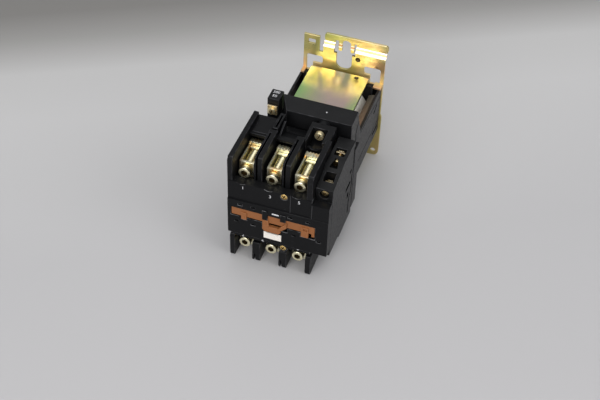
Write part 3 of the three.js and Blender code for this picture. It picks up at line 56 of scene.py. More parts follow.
def place(x, y, z):
    """A point of the contactor, from millimetres behind the front face to the frame's metres."""
    return Vector((x * MM, (y - FRONT_TO_MIDDLE) * MM, z * MM))


# Camera
# A long lens on a stand in front of the contactor, a little to its right, looking down at it.
VIEW_FROM_RIGHT = math.radians(17.5623)
VIEW_FROM_ABOVE = math.radians(44.2749)
VIEW_ROLL = math.radians(2.2337)
FOCAL_LENGTH = 66.93
CAMERA_PLACE = (0.205117, -0.675678, 0.690618)

back = Vector((
    math.sin(VIEW_FROM_RIGHT) * math.cos(VIEW_FROM_ABOVE),
    -math.cos(VIEW_FROM_RIGHT) * math.cos(VIEW_FROM_ABOVE),
    math.sin(VIEW_FROM_ABOVE),
))
level_right = Vector((math.cos(VIEW_FROM_RIGHT), math.sin(VIEW_FROM_RIGHT), 0))
level_up = back.cross(level_right)
right = math.cos(VIEW_ROLL) * level_right + math.sin(VIEW_ROLL) * level_up
up = math.cos(VIEW_ROLL) * level_up - math.sin(VIEW_ROLL) * level_right
turn = Matrix((right, up, back)).transposed().to_4x4()
lens = bpy.data.cameras.new("camera")
lens.sensor_fit = "HORIZONTAL"
lens.sensor_width = 36
lens.lens = FOCAL_LENGTH
camera = bpy.data.objects.new("camera", lens)
camera.matrix_world = Matrix.Translation(CAMERA_PLACE) @ turn
bpy.context.collection.objects.link(camera)
bpy.context.scene.camera = camera
bpy.context.scene.view_settings.view_transform = "Standard"


# Table and lamps
# A plain pale table whose colour is painted darker towards the back as painted light falloff, under wide soft
# lamps overhead, behind, on the right and in front.
def shaded(name):
    """An empty finish: its nodes, its links, its shader and the piece's own coordinates in metres."""
    finish = bpy.data.materials.new(name)
    finish.use_nodes = True
    nodes, links = finish.node_tree.nodes, finish.node_tree.links
    nodes.clear()
    output = nodes.new("ShaderNodeOutputMaterial")
    shader = nodes.new("ShaderNodeBsdfPrincipled")
    links.new(shader.outputs["BSDF"], output.inputs["Surface"])
    own = nodes.new("ShaderNodeTexCoord").outputs["Object"]
    return finish, nodes, links, shader, own


def cloud(nodes, links, own, scale, detail=3.0, stretch=(1, 1, 1)):
    """Soft noise from 0 to 1; scale counts blotches in a metre, stretch squeezes them along an axis."""
    mapping = nodes.new("ShaderNodeMapping")
    mapping.inputs["Scale"].default_value = stretch
    links.new(own, mapping.inputs["Vector"])
    noise = nodes.new("ShaderNodeTexNoise")
    noise.inputs["Scale"].default_value = scale
    noise.inputs["Detail"].default_value = detail
    links.new(mapping.outputs["Vector"], noise.inputs["Vector"])
    return noise.outputs["Fac"]


def tinted(nodes, links, amount, stops):
    """A colour ramp over the amount; each stop is (position, red, green, blue) in linear light."""
    ramp = nodes.new("ShaderNodeValToRGB")
    band = ramp.color_ramp
    for number, (position, red, green, blue) in enumerate(stops):
        stop = band.elements[number] if number < 2 else band.elements.new(position)
        stop.position = position
        stop.color = (red, green, blue, 1)
    links.new(amount, ramp.inputs["Fac"])
    return ramp.outputs["Color"]


def eased(nodes, links, amount, low, high, to_low=0.0, to_high=1.0):
    """The amount between low and high, spread over another span and stopped at its ends."""
    spread = nodes.new("ShaderNodeMapRange")
    spread.inputs["From Min"].default_value = low
    spread.inputs["From Max"].default_value = high
    spread.inputs["To Min"].default_value = to_low
    spread.inputs["To Max"].default_value = to_high
    links.new(amount, spread.inputs["Value"])
    return spread.outputs["Result"]


def blended(nodes, links, amount, first, second):
    """The first colour going over to the second; either may be a plain colour or another node's."""
    mix = nodes.new("ShaderNodeMix")
    mix.data_type = "RGBA"
    links.new(amount, mix.inputs["Factor"])
    for socket, colour in ((mix.inputs[6], first), (mix.inputs[7], second)):
        if isinstance(colour, tuple):
            socket.default_value = (*colour, 1)
        else:
            links.new(colour, socket)
    return mix.outputs[2]


def along(nodes, links, own, axis):
    """One of the piece's own three coordinates, in metres."""
    parted = nodes.new("ShaderNodeSeparateXYZ")
    links.new(own, parted.inputs["Vector"])
    return parted.outputs[axis]


def worked(nodes, links, how, first, second):
    """The sum, product or like of two amounts; the second may be a plain number."""
    step = nodes.new("ShaderNodeMath")
    step.operation = how
    links.new(first, step.inputs[0])
    if isinstance(second, (int, float)):
        step.inputs[1].default_value = second
    else:
        links.new(second, step.inputs[1])
    return step.outputs["Value"]


def raised(nodes, links, shader, heights):
    """Bumps in the surface, each from (amount, strength, depth in millimetres), one over the other."""
    below = None
    for amount, strength, depth in heights:
        bump = nodes.new("ShaderNodeBump")
        bump.inputs["Strength"].default_value = strength
        bump.inputs["Distance"].default_value = depth * MM
        links.new(amount, bump.inputs["Height"])
        if below:
            links.new(below, bump.inputs["Normal"])
        below = bump.outputs["Normal"]
    links.new(below, shader.inputs["Normal"])


TABLE_HALF_WIDTH = 5.0
table_shape = bmesh.new()
bmesh.ops.create_grid(table_shape, x_segments=1, y_segments=1, size=TABLE_HALF_WIDTH)
table_data = bpy.data.meshes.new("table")
table_shape.to_mesh(table_data)
table_shape.free()
table = bpy.data.objects.new("table", table_data)
bpy.context.collection.objects.link(table)

TABLE_SHADE_TURN = math.radians(11)
table_top, nodes, links, shader, own = shaded("pale_table")
lined_up = nodes.new("ShaderNodeMapping")
lined_up.inputs["Rotation"].default_value = (0, 0, -VIEW_FROM_RIGHT - TABLE_SHADE_TURN)
links.new(own, lined_up.inputs["Vector"])
depth = along(nodes, links, lined_up.outputs["Vector"], "Y")
# Painted light falloff: the table is brightest a little behind the contactor and painted darker far back.
pale = tinted(nodes, links, eased(nodes, links, depth, -0.20, 0.32), [
    (0.0, 0.515, 0.508, 0.515),
    (1.0, 0.262, 0.255, 0.244),
    (0.30, 0.530, 0.524, 0.530),
    (0.66, 0.615, 0.610, 0.610),
    (0.80, 0.600, 0.595, 0.590),
    (0.91, 0.375, 0.367, 0.357),
])
links.new(pale, shader.inputs["Base Color"])
shader.inputs["Roughness"].default_value = 0.6
shader.inputs["Specular IOR Level"].default_value = 0.155
table_data.materials.append(table_top)

room = bpy.data.worlds.new("room")
bpy.context.scene.world = room
room.use_nodes = True
room.node_tree.nodes["Background"].inputs["Color"].default_value = (0.93, 0.95, 1.0, 1)
room.node_tree.nodes["Background"].inputs["Strength"].default_value = 0.195

for lamp_name, spot, aim, size, power in (
    ("lamp_above", (0.1, -0.25, 1.6), (0, 0, 0.05), 2.0, 15.6),
    ("lamp_back", (-0.45, 1.3, 1.35), (0, 0, 0.08), 1.6, 3.2),
    ("lamp_right", (1.3, -0.3, 0.8), (0, 0, 0.05), 0.9, 6.5),
    ("lamp_front", (-0.2, -1.5, 0.8), (0, 0, 0.05), 1.0, 15.6),
):
    glow = bpy.data.lights.new(lamp_name, "AREA")
    glow.size = size
    glow.energy = power
    lamp = bpy.data.objects.new(lamp_name, glow)
    facing = (Vector(aim) - Vector(spot)).to_track_quat("-Z", "Y").to_matrix().to_4x4()
    lamp.matrix_world = Matrix.Translation(spot) @ facing
    bpy.context.collection.objects.link(lamp)


# Pole housing
# The main moulding: black glass-filled plastic with three open terminal bays between slotted
# barriers, and fins below. Its arrises are slightly rounded by the mould, and their pale rims are partly
# scuffed and partly a painted highlight.
def block(shape, low, high, rotation=None, about=None):
    """A rectangular block between two corners, turned about a point if one is given."""
    low, high = place(*low), place(*high)
    made = bmesh.ops.create_cube(shape, size=1.0)
    bmesh.ops.scale(shape, vec=high - low, verts=made["verts"])
    bmesh.ops.translate(shape, vec=(low + high) / 2, verts=made["verts"])
    if rotation:
        bmesh.ops.rotate(shape, verts=made["verts"], cent=about, matrix=rotation)


def carved(shape, tool):
    """The shape with the tool's space cut out of it."""
    holders = []
    for part, part_name in ((shape, "uncut"), (tool, "tool")):
        data = bpy.data.meshes.new(part_name)
        part.to_mesh(data)
        part.free()
        holder = bpy.data.objects.new(part_name, data)
        bpy.context.collection.objects.link(holder)
        holders.append(holder)
    cut = holders[0].modifiers.new("cut", "BOOLEAN")
    cut.operation = "DIFFERENCE"
    cut.solver = "EXACT"
    cut.use_self = True
    cut.object = holders[1]
    bpy.context.view_layer.update()
    data = bpy.data.meshes.new_from_object(holders[0].evaluated_get(bpy.context.evaluated_depsgraph_get()))
    result = bmesh.new()
    result.from_mesh(data)
    for holder in holders:
        bpy.data.objects.remove(holder)
    bpy.data.meshes.remove(data)
    return result


def crowded(corner, reach):
    """Whether a short edge, leading away from this one's end, leaves no room to round it off."""
    for end in corner.verts:
        outward = (corner.other_vert(end).co - end.co).normalized()
        for other in end.link_edges:
            away = other.other_vert(end).co - end.co
            if away.length < reach * MM and outward.cross(away.normalized()).length > 0.57:
                return True
    return False


def folded(shape):
    """The corners of faces that rounding has folded over themselves."""
    cut_up = shape.copy()
    cut_up.normal_update()
    facing = cut_up.faces.layers.float_vector.new("facing")
    for face in cut_up.faces:
        face[facing] = face.normal
    bmesh.ops.triangulate(cut_up, faces=[face for face in cut_up.faces if len(face.verts) > 3])
    cut_up.normal_update()
    corners = [
        corner.co.copy() for face in cut_up.faces
        if face.calc_area() > 1e-4 * MM * MM and face.normal.dot(face[facing]) < 0 for corner in face.verts
    ]
    cut_up.free()
    return corners


SHARP_BELOW = math.radians(28)
ROOM_BESIDE_EDGE = 2.1
ROOM_ROUND_FOLD = 2.5
MOST_TRIES = 5


def on_tool(spot, groove):
    """Whether a point lies on the surface of the carving tool, if there is one."""
    return groove is not None and groove.find_nearest(spot)[3] < 0.02 * MM


def near_any(corner, spots, reach):
    """Whether either end of an edge lies within reach of one of the spots."""
    return any((end.co - spot).length < reach * MM for end in corner.verts for spot in spots)


def rounded(node, edge, bends=None, bend_radius=0.0, facets=2, cut=None):
    """A merged copy of a drawn solid, its outer edges rounded by edge millimetres and marked "rim".
    Grooves that the cut tool makes keep their sharp edges and take the second finish. Where rounding
    folds a face over itself, the edges near the fold stay sharp and the rest is rounded again."""
    shape = bmesh.new()
    shape.from_mesh(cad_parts[node].data)
    bmesh.ops.remove_doubles(shape, verts=shape.verts, dist=0.01 * MM)
    groove = BVHTree.FromBMesh(cut) if cut else None
    if cut:
        shape = carved(shape, cut)
        for face in shape.faces:
            spots = [corner.co for corner in face.verts] + [face.calc_center_median()]
            face.material_index = int(all(on_tool(spot, groove) for spot in spots))
    bmesh.ops.dissolve_limit(
        shape, angle_limit=math.radians(0.7), verts=shape.verts, edges=shape.edges, delimit={"MATERIAL"},
    )
    bmesh.ops.dissolve_degenerate(shape, dist=0.004 * MM, edges=shape.edges)
    if bends:
        bmesh.ops.bevel(
            shape, geom=[bend for bend in shape.edges if bends(bend)], offset=bend_radius * MM,
            offset_type="OFFSET", segments=6, profile=0.5, affect="EDGES", material=-1, clamp_overlap=True,
        )
    left_sharp = []
    for _ in range(MOST_TRIES):
        eased_shape = shape.copy()
        rim = eased_shape.verts.layers.float.new("rim")
        arrises = [
            corner for corner in eased_shape.edges
            if len(corner.link_faces) == 2 and corner.is_convex
            and corner.calc_face_angle(0.0) > SHARP_BELOW and not crowded(corner, ROOM_BESIDE_EDGE * edge)
            and not on_tool((corner.verts[0].co + corner.verts[1].co) / 2, groove)
            and not near_any(corner, left_sharp, ROOM_ROUND_FOLD * edge)
        ]
        made = bmesh.ops.bevel(
            eased_shape, geom=arrises, offset=edge * MM, offset_type="OFFSET", segments=facets, profile=0.5,
            affect="EDGES", material=-1, clamp_overlap=False,
        )
        folds = folded(eased_shape)
        if not folds:
            break
        left_sharp += folds
    shape.free()
    new_faces = set(made["faces"])
    for point in made["verts"]:
        if point.is_valid and all(face in new_faces for face in point.link_faces):
            point[rim] = 1.0
    return eased_shape


def finished(shape, name, finish, body, nodes=(), sharp=32, grooves=None):
    """The shape as a named piece in its finish, riding on a body and standing for drawn nodes."""
    data = bpy.data.meshes.new(name)
    shape.to_mesh(data)
    shape.free()
    data.materials.append(finish)
    if grooves:
        data.materials.append(grooves)
    data.shade_smooth()
    data.set_sharp_from_angle(angle=math.radians(sharp))
    piece = bpy.data.objects.new(name, data)
    bpy.context.collection.objects.link(piece)
    even = piece.modifiers.new("even_shading", "WEIGHTED_NORMAL")
    even.keep_sharp = True
    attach(piece, body)
    if nodes:
        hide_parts(*nodes)
    return piece


def moulded(name, colour, rim_scuff_and_highlight, roughness=0.40, grain=0.25, dust=0.10, gloss=0.2):
    """Moulded plastic: fine spark grain, faint flow clouds, dust on it and pale rims, partly scuffed and
    partly a painted highlight.
    """
    finish, nodes, links, shader, own = shaded(name)
    flow = cloud(nodes, links, own, 45, 4)
    specks = cloud(nodes, links, own, 420, 6)
    fine = cloud(nodes, links, own, 5200, 2)
    film = eased(nodes, links, flow, 0.42, 0.72, 0, dust)
    clouded = blended(nodes, links, film, colour, tuple(0.04 + part for part in colour))
    spotted = blended(
        nodes, links, eased(nodes, links, specks, 0.66, 0.74, 0, 0.03), clouded, (0.3, 0.3, 0.32),
    )
    # Painted highlight and scuffing: the rounded rims go over in patches to the pale rim colour.
    edge = nodes.new("ShaderNodeAttribute")
    edge.attribute_name = "rim"
    rim_patches = eased(nodes, links, cloud(nodes, links, own, 260, 5), 0.38, 0.66)
    scuff_and_highlight = worked(nodes, links, "MULTIPLY", edge.outputs["Fac"], rim_patches)
    links.new(blended(nodes, links, scuff_and_highlight, spotted, rim_scuff_and_highlight), shader.inputs["Base Color"])
    links.new(
        eased(nodes, links, specks, 0.3, 0.7, roughness - 0.06, roughness + 0.08),
        shader.inputs["Roughness"],
    )
    shader.inputs["Specular IOR Level"].default_value = gloss
    raised(nodes, links, shader, [(flow, 0.10, 0.4), (fine, grain, 0.035)])
    return finish


BLACK = (0.0054, 0.0055, 0.0062)
black_housing = moulded("black_housing", BLACK, (0.10, 0.10, 0.11), dust=0.06, gloss=0.15)
# Painted shade: a near-black, matt plastic without gloss for the faces of cut joints, vents and slots.
groove_shade = moulded(
    "groove_shade", (0.0012, 0.0012, 0.0013), (0.002, 0.002, 0.002), roughness=0.8, dust=0.0, gloss=0.02,
)
finished(
    rounded("pole_housing", 0.35), "moulded_pole_housing", black_housing, "base",
    ["pole_housing"],
)


# Front cover
# A thinner black moulding screwed over the contacts. It has the slot that shows the slider, a
# row of small windows over and under it, plain terminal numbers and a few moulding seams, whose groove faces
# are painted pale grey as a painted highlight.
black_cover = moulded(
    "black_cover", (0.0078, 0.0079, 0.0086), (0.34, 0.34, 0.35), roughness=0.34, dust=0.02, gloss=0.08,
)
# The seam grooves' faces take a pale grey plastic, a painted highlight along the seams.
seams = bmesh.new()
block(seams, (10.15, 0.9, 69.6), (10.45, 1.5, 90.2))
block(seams, (28.2, 0.3, 69.6), (28.5, 0.9, 84.2))
block(seams, (-15.3, -0.5, 70.4), (-15.0, 0.35, 72.6))
block(seams, (-10.6, -0.5, 70.4), (-10.3, 0.35, 72.6))
seam_highlight = moulded("seam_highlight", (0.13, 0.13, 0.14), (0.34, 0.34, 0.35))
finished(
    rounded("front_cover", 0.3, cut=seams), "moulded_front_cover", black_cover, "base",
    ["front_cover"],
    grooves=seam_highlight,
)

figure_paint, nodes, links, shader, own = shaded("figure_paint")
thin = eased(nodes, links, cloud(nodes, links, own, 2600, 3), 0.35, 0.65)
links.new(blended(nodes, links, thin, (0.56, 0.56, 0.58), (0.82, 0.82, 0.84)), shader.inputs["Base Color"])
shader.inputs["Roughness"].default_value = 0.6


def figure(name, number, x, z, height, face=1.2, lying=False):
    """A plain number printed on an upright face, or on a level one; face is that face's depth or height."""
    letters = bpy.data.curves.new(name, "FONT")
    letters.body = number
    letters.size = height * 1.42 * MM
    letters.extrude = 0.03 * MM
    letters.align_x = "CENTER"
    letters.align_y = "CENTER"
    holder = bpy.data.objects.new(name + "_outline", letters)
    bpy.context.collection.objects.link(holder)
    bpy.context.view_layer.update()
    data = bpy.data.meshes.new_from_object(holder.evaluated_get(bpy.context.evaluated_depsgraph_get()))
    bpy.data.objects.remove(holder)
    shape = bmesh.new()
    shape.from_mesh(data)
    bmesh.ops.remove_doubles(shape, verts=shape.verts, dist=0.0005 * MM)
    shape.to_mesh(data)
    shape.free()
    data.name = name
    if lying:
        data.transform(Matrix.Translation(place(x, z, face)))
    else:
        data.transform(
            Matrix.Translation(place(x, face - 0.04, z)) @ Matrix.Rotation(math.radians(90), 4, "X"),
        )
    data.materials.clear()
    data.materials.append(figure_paint)
    piece = bpy.data.objects.new(name, data)
    bpy.context.collection.objects.link(piece)
    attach(piece, "base")


# A small raised rib above the slot, painted pale all over as a painted highlight where its top catches the
# light.
lit_rib = bmesh.new()
block(lit_rib, (-4.4, -0.55, 63.9), (1.5, 0.3, 65.0))
bmesh.ops.bevel(
    lit_rib, geom=lit_rib.edges[:], offset=0.25 * MM, offset_type="OFFSET", segments=2, profile=0.5,
    affect="EDGES", material=-1,
)
finished(lit_rib, "rib_highlight", figure_paint, "base")
for number, x, z in (
    ("1", -29.4, 83.2), ("3", -6.6, 81.3), ("5", 17.5, 83.0), ("2", -29.6, 29.8), ("4", -12.6, 29.6),
    ("6", 18.0, 31.0),
):
    figure("figure_" + number, number, x, z, 3.0)


# Label tag
# A small plain white plastic strip clipped into the cover, left blank.
tag_white, nodes, links, shader, own = shaded("tag_white")
soil = eased(nodes, links, cloud(nodes, links, own, 320, 5), 0.45, 0.75, 0, 0.35)
links.new(blended(nodes, links, soil, (0.92, 0.87, 0.80), (0.72, 0.66, 0.58)), shader.inputs["Base Color"])
shader.inputs["Roughness"].default_value = 0.38
raised(nodes, links, shader, [(cloud(nodes, links, own, 1800, 3), 0.15, 0.04)])
finished(rounded("tag", 0.2), "moulded_tag", tag_white, "base", ["tag"])


# Cover screws
# Two small brass screws with rounded cross-slotted heads, which hold the cover.
def turned(outline, middle, across=48):
    """A turned shape: an outline of (radius, depth) in millimetres spun round a line along the depth."""
    shape = bmesh.new()
    points = [shape.verts.new(place(middle[0] + radius, depth, middle[1])) for radius, depth in outline]
    lines = [shape.edges.new(pair) for pair in zip(points, points[1:])]
    bmesh.ops.spin(
        shape, geom=points + lines, cent=place(middle[0], 0, middle[1]), axis=(0, 1, 0),
        angle=math.tau, steps=across, use_merge=True, use_normal_flip=False,
    )
    bmesh.ops.remove_doubles(shape, verts=shape.verts, dist=0.004 * MM)
    bmesh.ops.recalc_face_normals(shape, faces=shape.faces)
    return shape


def domed(radius, near, far, crown=0.5, ease=0.35):
    """The outline of a screw head with an eased edge and a slightly crowned front, near to far."""
    front = [(radius * step / 5 * 0.82, near + crown * (step / 5) ** 2 * 0.5) for step in range(6)]
    return front + [
        (radius - ease, near + crown * 0.6),
        (radius - ease * 0.35, near + crown * 0.6 + ease * 0.35),
        (radius, near + crown * 0.6 + ease),
        (radius, far - 0.12),
        (radius - 0.12, far),
    ]


def cross_slots(middle, near, arm, width, deep, tilt):
    """A cross-shaped punch for a screw head, its two straight arms turned by the tilt."""
    tool = bmesh.new()
    about = place(middle[0], near, middle[1])
    for quarter in (0, 90):
        spin = Matrix.Rotation(math.radians(tilt + quarter), 3, "Y")
        block(
            tool, (middle[0] - arm, near - 1, middle[1] - width / 2),
            (middle[0] + arm, near + deep, middle[1] + width / 2), spin, about,
        )
    return tool


def plated(
    name, stops, patch=70, roughness=0.3, grain=0.12, stretch=(1, 1, 1), lines=900, metal=1.0, spotted=0.4,
):
    """Plated metal whose thin coat drifts in colour, with fine lines of rolling or turning and a painted
    highlight along its rounded rims.
    """
    finish, nodes, links, shader, own = shaded(name)
    drift = eased(nodes, links, cloud(nodes, links, own, patch, 2), 0.34, 0.66)
    coat = tinted(nodes, links, drift, stops)
    spots = eased(nodes, links, cloud(nodes, links, own, 700, 6), 0.60, 0.78, 0, spotted)
    edge = nodes.new("ShaderNodeAttribute")
    edge.attribute_name = "rim"
    dull = blended(nodes, links, spots, coat, tuple(part * 0.62 for part in stops[0][1:]))
    # Painted highlight: the rounded rims are painted half way to a pale cream.
    bright = worked(nodes, links, "MULTIPLY", edge.outputs["Fac"], 0.5)
    links.new(blended(nodes, links, bright, dull, (0.92, 0.88, 0.78)), shader.inputs["Base Color"])
    shader.inputs["Metallic"].default_value = metal
    smear = cloud(nodes, links, own, lines, 4, stretch)
    links.new(
        eased(nodes, links, smear, 0.3, 0.7, roughness - 0.07, roughness + 0.1), shader.inputs["Roughness"],
    )
    raised(nodes, links, shader, [(smear, grain, 0.05), (cloud(nodes, links, own, 160, 2), 0.08, 0.3)])
    return finish


def pocketed(piece, middle, near, reach, deep):
    """The walls and floor of a screw's recess, within reach of its line, take the recess shade, a painted
    shade.
    """
    piece.data.materials.append(recess_shade)
    front = place(middle[0], near, middle[1])
    for facet in piece.data.polygons:
        out = facet.center - front
        if 0.05 * MM < out.y - 0.3 * MM < deep * MM and math.hypot(out.x, out.z) < reach * MM:
            facet.material_index = 1


COVER_SCREW_X = 4.95
COVER_SCREW_FRONT = 1.25
# Recess shade is painted shade: a dark metal for screw slots and sockets and the punch marks and cuts of the
# yoke and plate.
recess_shade = plated(
    "recess_shade", [(0.0, 0.06, 0.04, 0.018), (1.0, 0.18, 0.13, 0.06)], patch=500, roughness=0.5,
)
bright_brass = plated(
    "bright_brass", [(0.0, 0.74, 0.48, 0.16), (1.0, 0.94, 0.68, 0.28), (0.5, 0.86, 0.60, 0.23)], patch=400,
    roughness=0.26,
)
for place_name, height in (("upper", 84.7), ("lower", 26.8)):
    middle = (COVER_SCREW_X, height)
    outline = [(0, COVER_SCREW_FRONT)] + domed(2.75, COVER_SCREW_FRONT, 2.8)[1:]
    head = turned(outline + [(1.4, 2.8), (1.4, 3.6), (0, 3.6)], middle)
    head = carved(head, cross_slots(middle, COVER_SCREW_FRONT, 2.0, 0.9, 1.1, 28))
    head = finished(
        head, "brass_cover_screw_" + place_name, bright_brass, "base",
        ["cover_screw_" + place_name],
    )
    pocketed(head, middle, COVER_SCREW_FRONT, 2.05, 0.9)


# Power terminals
# Each pole has a folded steel cage with a ribbed bar behind it, a clamping pad and a hexagon
# socket screw, all plated a pale cream that turns golden where the zinc coat is thin.
POLES = ((1, -31.05), (2, -7.85), (3, 15.35))
SCREW_FRONT = 8.3
THREAD_START = 13.7
THREAD_PITCH = 1.25
THREAD_TURNS = 15
THREAD_RADIUS = 4.0
THREAD_ROOT = 3.66
pale_cage = plated("pale_cage", [
    (0.0, 0.86, 0.62, 0.31), (1.0, 0.95, 0.90, 0.68), (0.3, 0.90, 0.80, 0.54), (0.62, 0.74, 0.74, 0.54),
], patch=160, roughness=0.29, grain=0.1, stretch=(1, 6, 1))
for side in ("line", "load"):
    for pole in (1, 2, 3):
        cage = "terminal_%s_%d" % (side, pole)
        finished(rounded(cage, 0.28), "folded_" + cage, pale_cage, "base", [cage])
        pad = "pad_%s_%d" % (side, pole)
        finished(
            rounded(pad, 0.2), "pressed_" + pad, pale_cage, "%s_%d_pad" % (side, pole), [pad],
        )

screw_coat, nodes, links, shader, own = shaded("screw_coat")
back_along = worked(nodes, links, "ADD", along(nodes, links, own, "Y"), worked(
    nodes, links, "MULTIPLY", worked(nodes, links, "SUBTRACT", cloud(nodes, links, own, 380, 3), 0.5), 0.003))
links.new(tinted(nodes, links, eased(nodes, links, back_along, -0.0785, -0.0530), [
    (0.0, 0.96, 0.90, 0.63), (1.0, 0.92, 0.87, 0.60), (0.13, 0.98, 0.88, 0.58), (0.21, 1.0, 0.72, 0.33),
    (0.32, 0.94, 0.85, 0.56),
]), shader.inputs["Base Color"])
shader.inputs["Metallic"].default_value = 1.0
links.new(
    eased(nodes, links, cloud(nodes, links, own, 900, 4), 0.3, 0.7, 0.24, 0.36), shader.inputs["Roughness"],
)
raised(nodes, links, shader, [(cloud(nodes, links, own, 1100, 3, (1, 4, 1)), 0.05, 0.03)])

for side, height in (("line", 92.5), ("load", 13.8)):
    for pole, across in POLES:
        outline = [(0, SCREW_FRONT), (4.35, SCREW_FRONT), (4.72, 8.4), (4.93, 8.62), (5.0, 9.0)]
        outline += [(5.0, 12.9), (4.92, 13.15), (4.7, 13.3), (4.0, 13.3)]
        for thread in range(THREAD_TURNS):
            near = THREAD_START + THREAD_PITCH * thread
            outline += [(THREAD_RADIUS, near), (THREAD_RADIUS, near + 0.3)]
            outline += [(THREAD_ROOT, near + 0.72), (THREAD_ROOT, near + 0.82)]
        outline += [(THREAD_RADIUS, 32.6), (3.7, 33.2), (2.6, 33.2), (2.6, 34.5), (2.3, 34.8), (0, 34.8)]
        screw = turned(outline, (across, height), 40)
        socket = bmesh.new()
        bmesh.ops.create_cone(
            socket, cap_ends=True, segments=6, radius1=2.89 * MM, radius2=2.89 * MM, depth=6.8 * MM,
            matrix=Matrix.Translation(place(across, SCREW_FRONT, height))
            @ Matrix.Rotation(math.radians(90), 4, "X"),
        )
        name = "terminal_screw_%s_%d" % (side, pole)
        piece = finished(
            carved(screw, socket), "turned_" + name, screw_coat, "%s_%d_screw" % (side, pole),
            [name],
        )
        pocketed(piece, (across, height), 8.0, 2.95, 3.4)


# Slider and main contacts
# An orange-brown moulded slider shows in the cover's slot and carries three sprung copper
# contact bars and the magnet's steel armature inside.
MAGNET_AXIS_Z = 56.5
slider_orange = moulded(
    "slider_orange", (0.290, 0.110, 0.038), (0.50, 0.22, 0.10), roughness=0.36, grain=0.2, dust=0.10,
)
finished(
    rounded("contact_carrier", 0.25), "moulded_contact_carrier", slider_orange, "carrier",
    ["contact_carrier"],
)

bare_copper = plated(
    "bare_copper", [(0.0, 0.55, 0.24, 0.13), (1.0, 0.80, 0.42, 0.25)], patch=150, roughness=0.3,
)
bare_steel = plated(
    "bare_steel", [(0.0, 0.42, 0.42, 0.43), (1.0, 0.60, 0.60, 0.60)], patch=90, roughness=0.34,
)
finished(rounded("armature", 0.3), "cut_armature", bare_steel, "carrier", ["armature"])
for pole in (1, 2, 3):
    bar = "moving_contact_%d" % pole
    finished(rounded(bar, 0.2), "pressed_" + bar, bare_copper, "contact_bridge_%d" % pole, [bar])


def wound(name, middle, start, end, radius, wire, turns, upright=False):
    """A spring wound round a line from start to end, its end turns closed, along the depth or upright."""
    length = end - start - 2 * wire
    steps = 20
    axis = Vector((0, 0, 1)) if upright else Vector((0, 1, 0))
    if upright:
        centre = place(middle[0], middle[1], start + wire)
        stand = Matrix.Rotation(math.radians(90), 4, "X")
    else:
        centre = place(middle[0], start + wire, middle[1])
        stand = Matrix.Identity(4)
    shape = bmesh.new()
    ring = bmesh.ops.create_circle(
        shape, cap_ends=False, segments=10, radius=wire * MM,
        matrix=Matrix.Translation(centre + Vector(((radius - wire) * MM, 0, 0))) @ stand,
    )
    geometry = list(ring["verts"]) + list({edge for point in ring["verts"] for edge in point.link_edges})
    close = wire * 2.05
    for count, rise in ((1, close), (turns, length - 2 * close), (1, close)):
        made = bmesh.ops.spin(
            shape, geom=geometry, cent=centre, axis=axis, dvec=axis * (rise * MM / (steps * count)),
            angle=math.tau * count, steps=steps * count, use_merge=False,
        )
        geometry = made["geom_last"]
        centre = centre + axis * rise * MM
    bmesh.ops.holes_fill(shape, edges=[edge for edge in shape.edges if edge.is_boundary], sides=0)
    bmesh.ops.recalc_face_normals(shape, faces=shape.faces)
    return shape


return_wire = wound("return", (0, MAGNET_AXIS_Z), 51.9, 68.0, 8.0, 0.55, 3)
finished(return_wire, "wound_return_spring", bare_steel, "base", ["return_spring"])
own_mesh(bpy.data.objects["wound_return_spring"])
for pole, across in POLES:
    name = "wound_contact_spring_%d" % pole
    contact_wire = wound(name, (across, MAGNET_AXIS_Z), 30.3, 41.0, 2.2, 0.32, 4)
    finished(contact_wire, name, bare_steel, "carrier", ["contact_spring_%d" % pole])
    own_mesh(bpy.data.objects[name])


# Auxiliary contact block
# A narrow black case on the right-hand side with four small screw terminals in two steps,
# closed on its outer face by a moulded lid with three vents, whose joint shows as a fine line; the joint and
# vents are painted with shade.
def traced(tool, line, near_x, far_x, half_width, overlap):
    """Adds a groove's blocks to a tool, along a line of (depth, height) points on the right-hand side."""
    for (near, top), (far, foot) in zip(line, line[1:]):
        middle_y, middle_z = (near + far) / 2, (top + foot) / 2
        long = math.hypot(far - near, foot - top) + overlap
        lean = Matrix.Rotation(math.atan2(far - near, foot - top), 3, "X").inverted()
        block(
            tool, (near_x, middle_y - half_width, middle_z - long / 2),
            (far_x, middle_y + half_width, middle_z + long / 2), lean, place(near_x, middle_y, middle_z),
        )


black_aux = moulded(
    "black_aux", (0.0060, 0.0061, 0.0066), (0.12, 0.12, 0.13), roughness=0.42, grain=0.45, dust=0.2,
)
lid_joint = bmesh.new()
joint_line = [
    (65.6, 96.0), (65.0, 88.0), (65.6, 79.0), (64.2, 71.5), (62.2, 66.5), (62.8, 57.0), (61.2, 48.5),
    (57.5, 45.2), (56.5, 30.0),
]
LID_GROOVE_X, PAST_LID_X = 41.8, 43.0
traced(lid_joint, joint_line, LID_GROOVE_X, PAST_LID_X, 1.0, 0.3)
for near, far, foot, top in ((55.6, 60.4, 73.6, 77.2), (46.6, 58.8, 61.6, 65.2), (51.4, 55.4, 50.0, 55.6)):
    block(lid_joint, (LID_GROOVE_X, near, foot), (PAST_LID_X, far, top))
finished(
    rounded("aux_case", 0.3, cut=lid_joint), "moulded_aux_case", black_aux, "base",
    ["aux_case"],
    grooves=groove_shade,
)

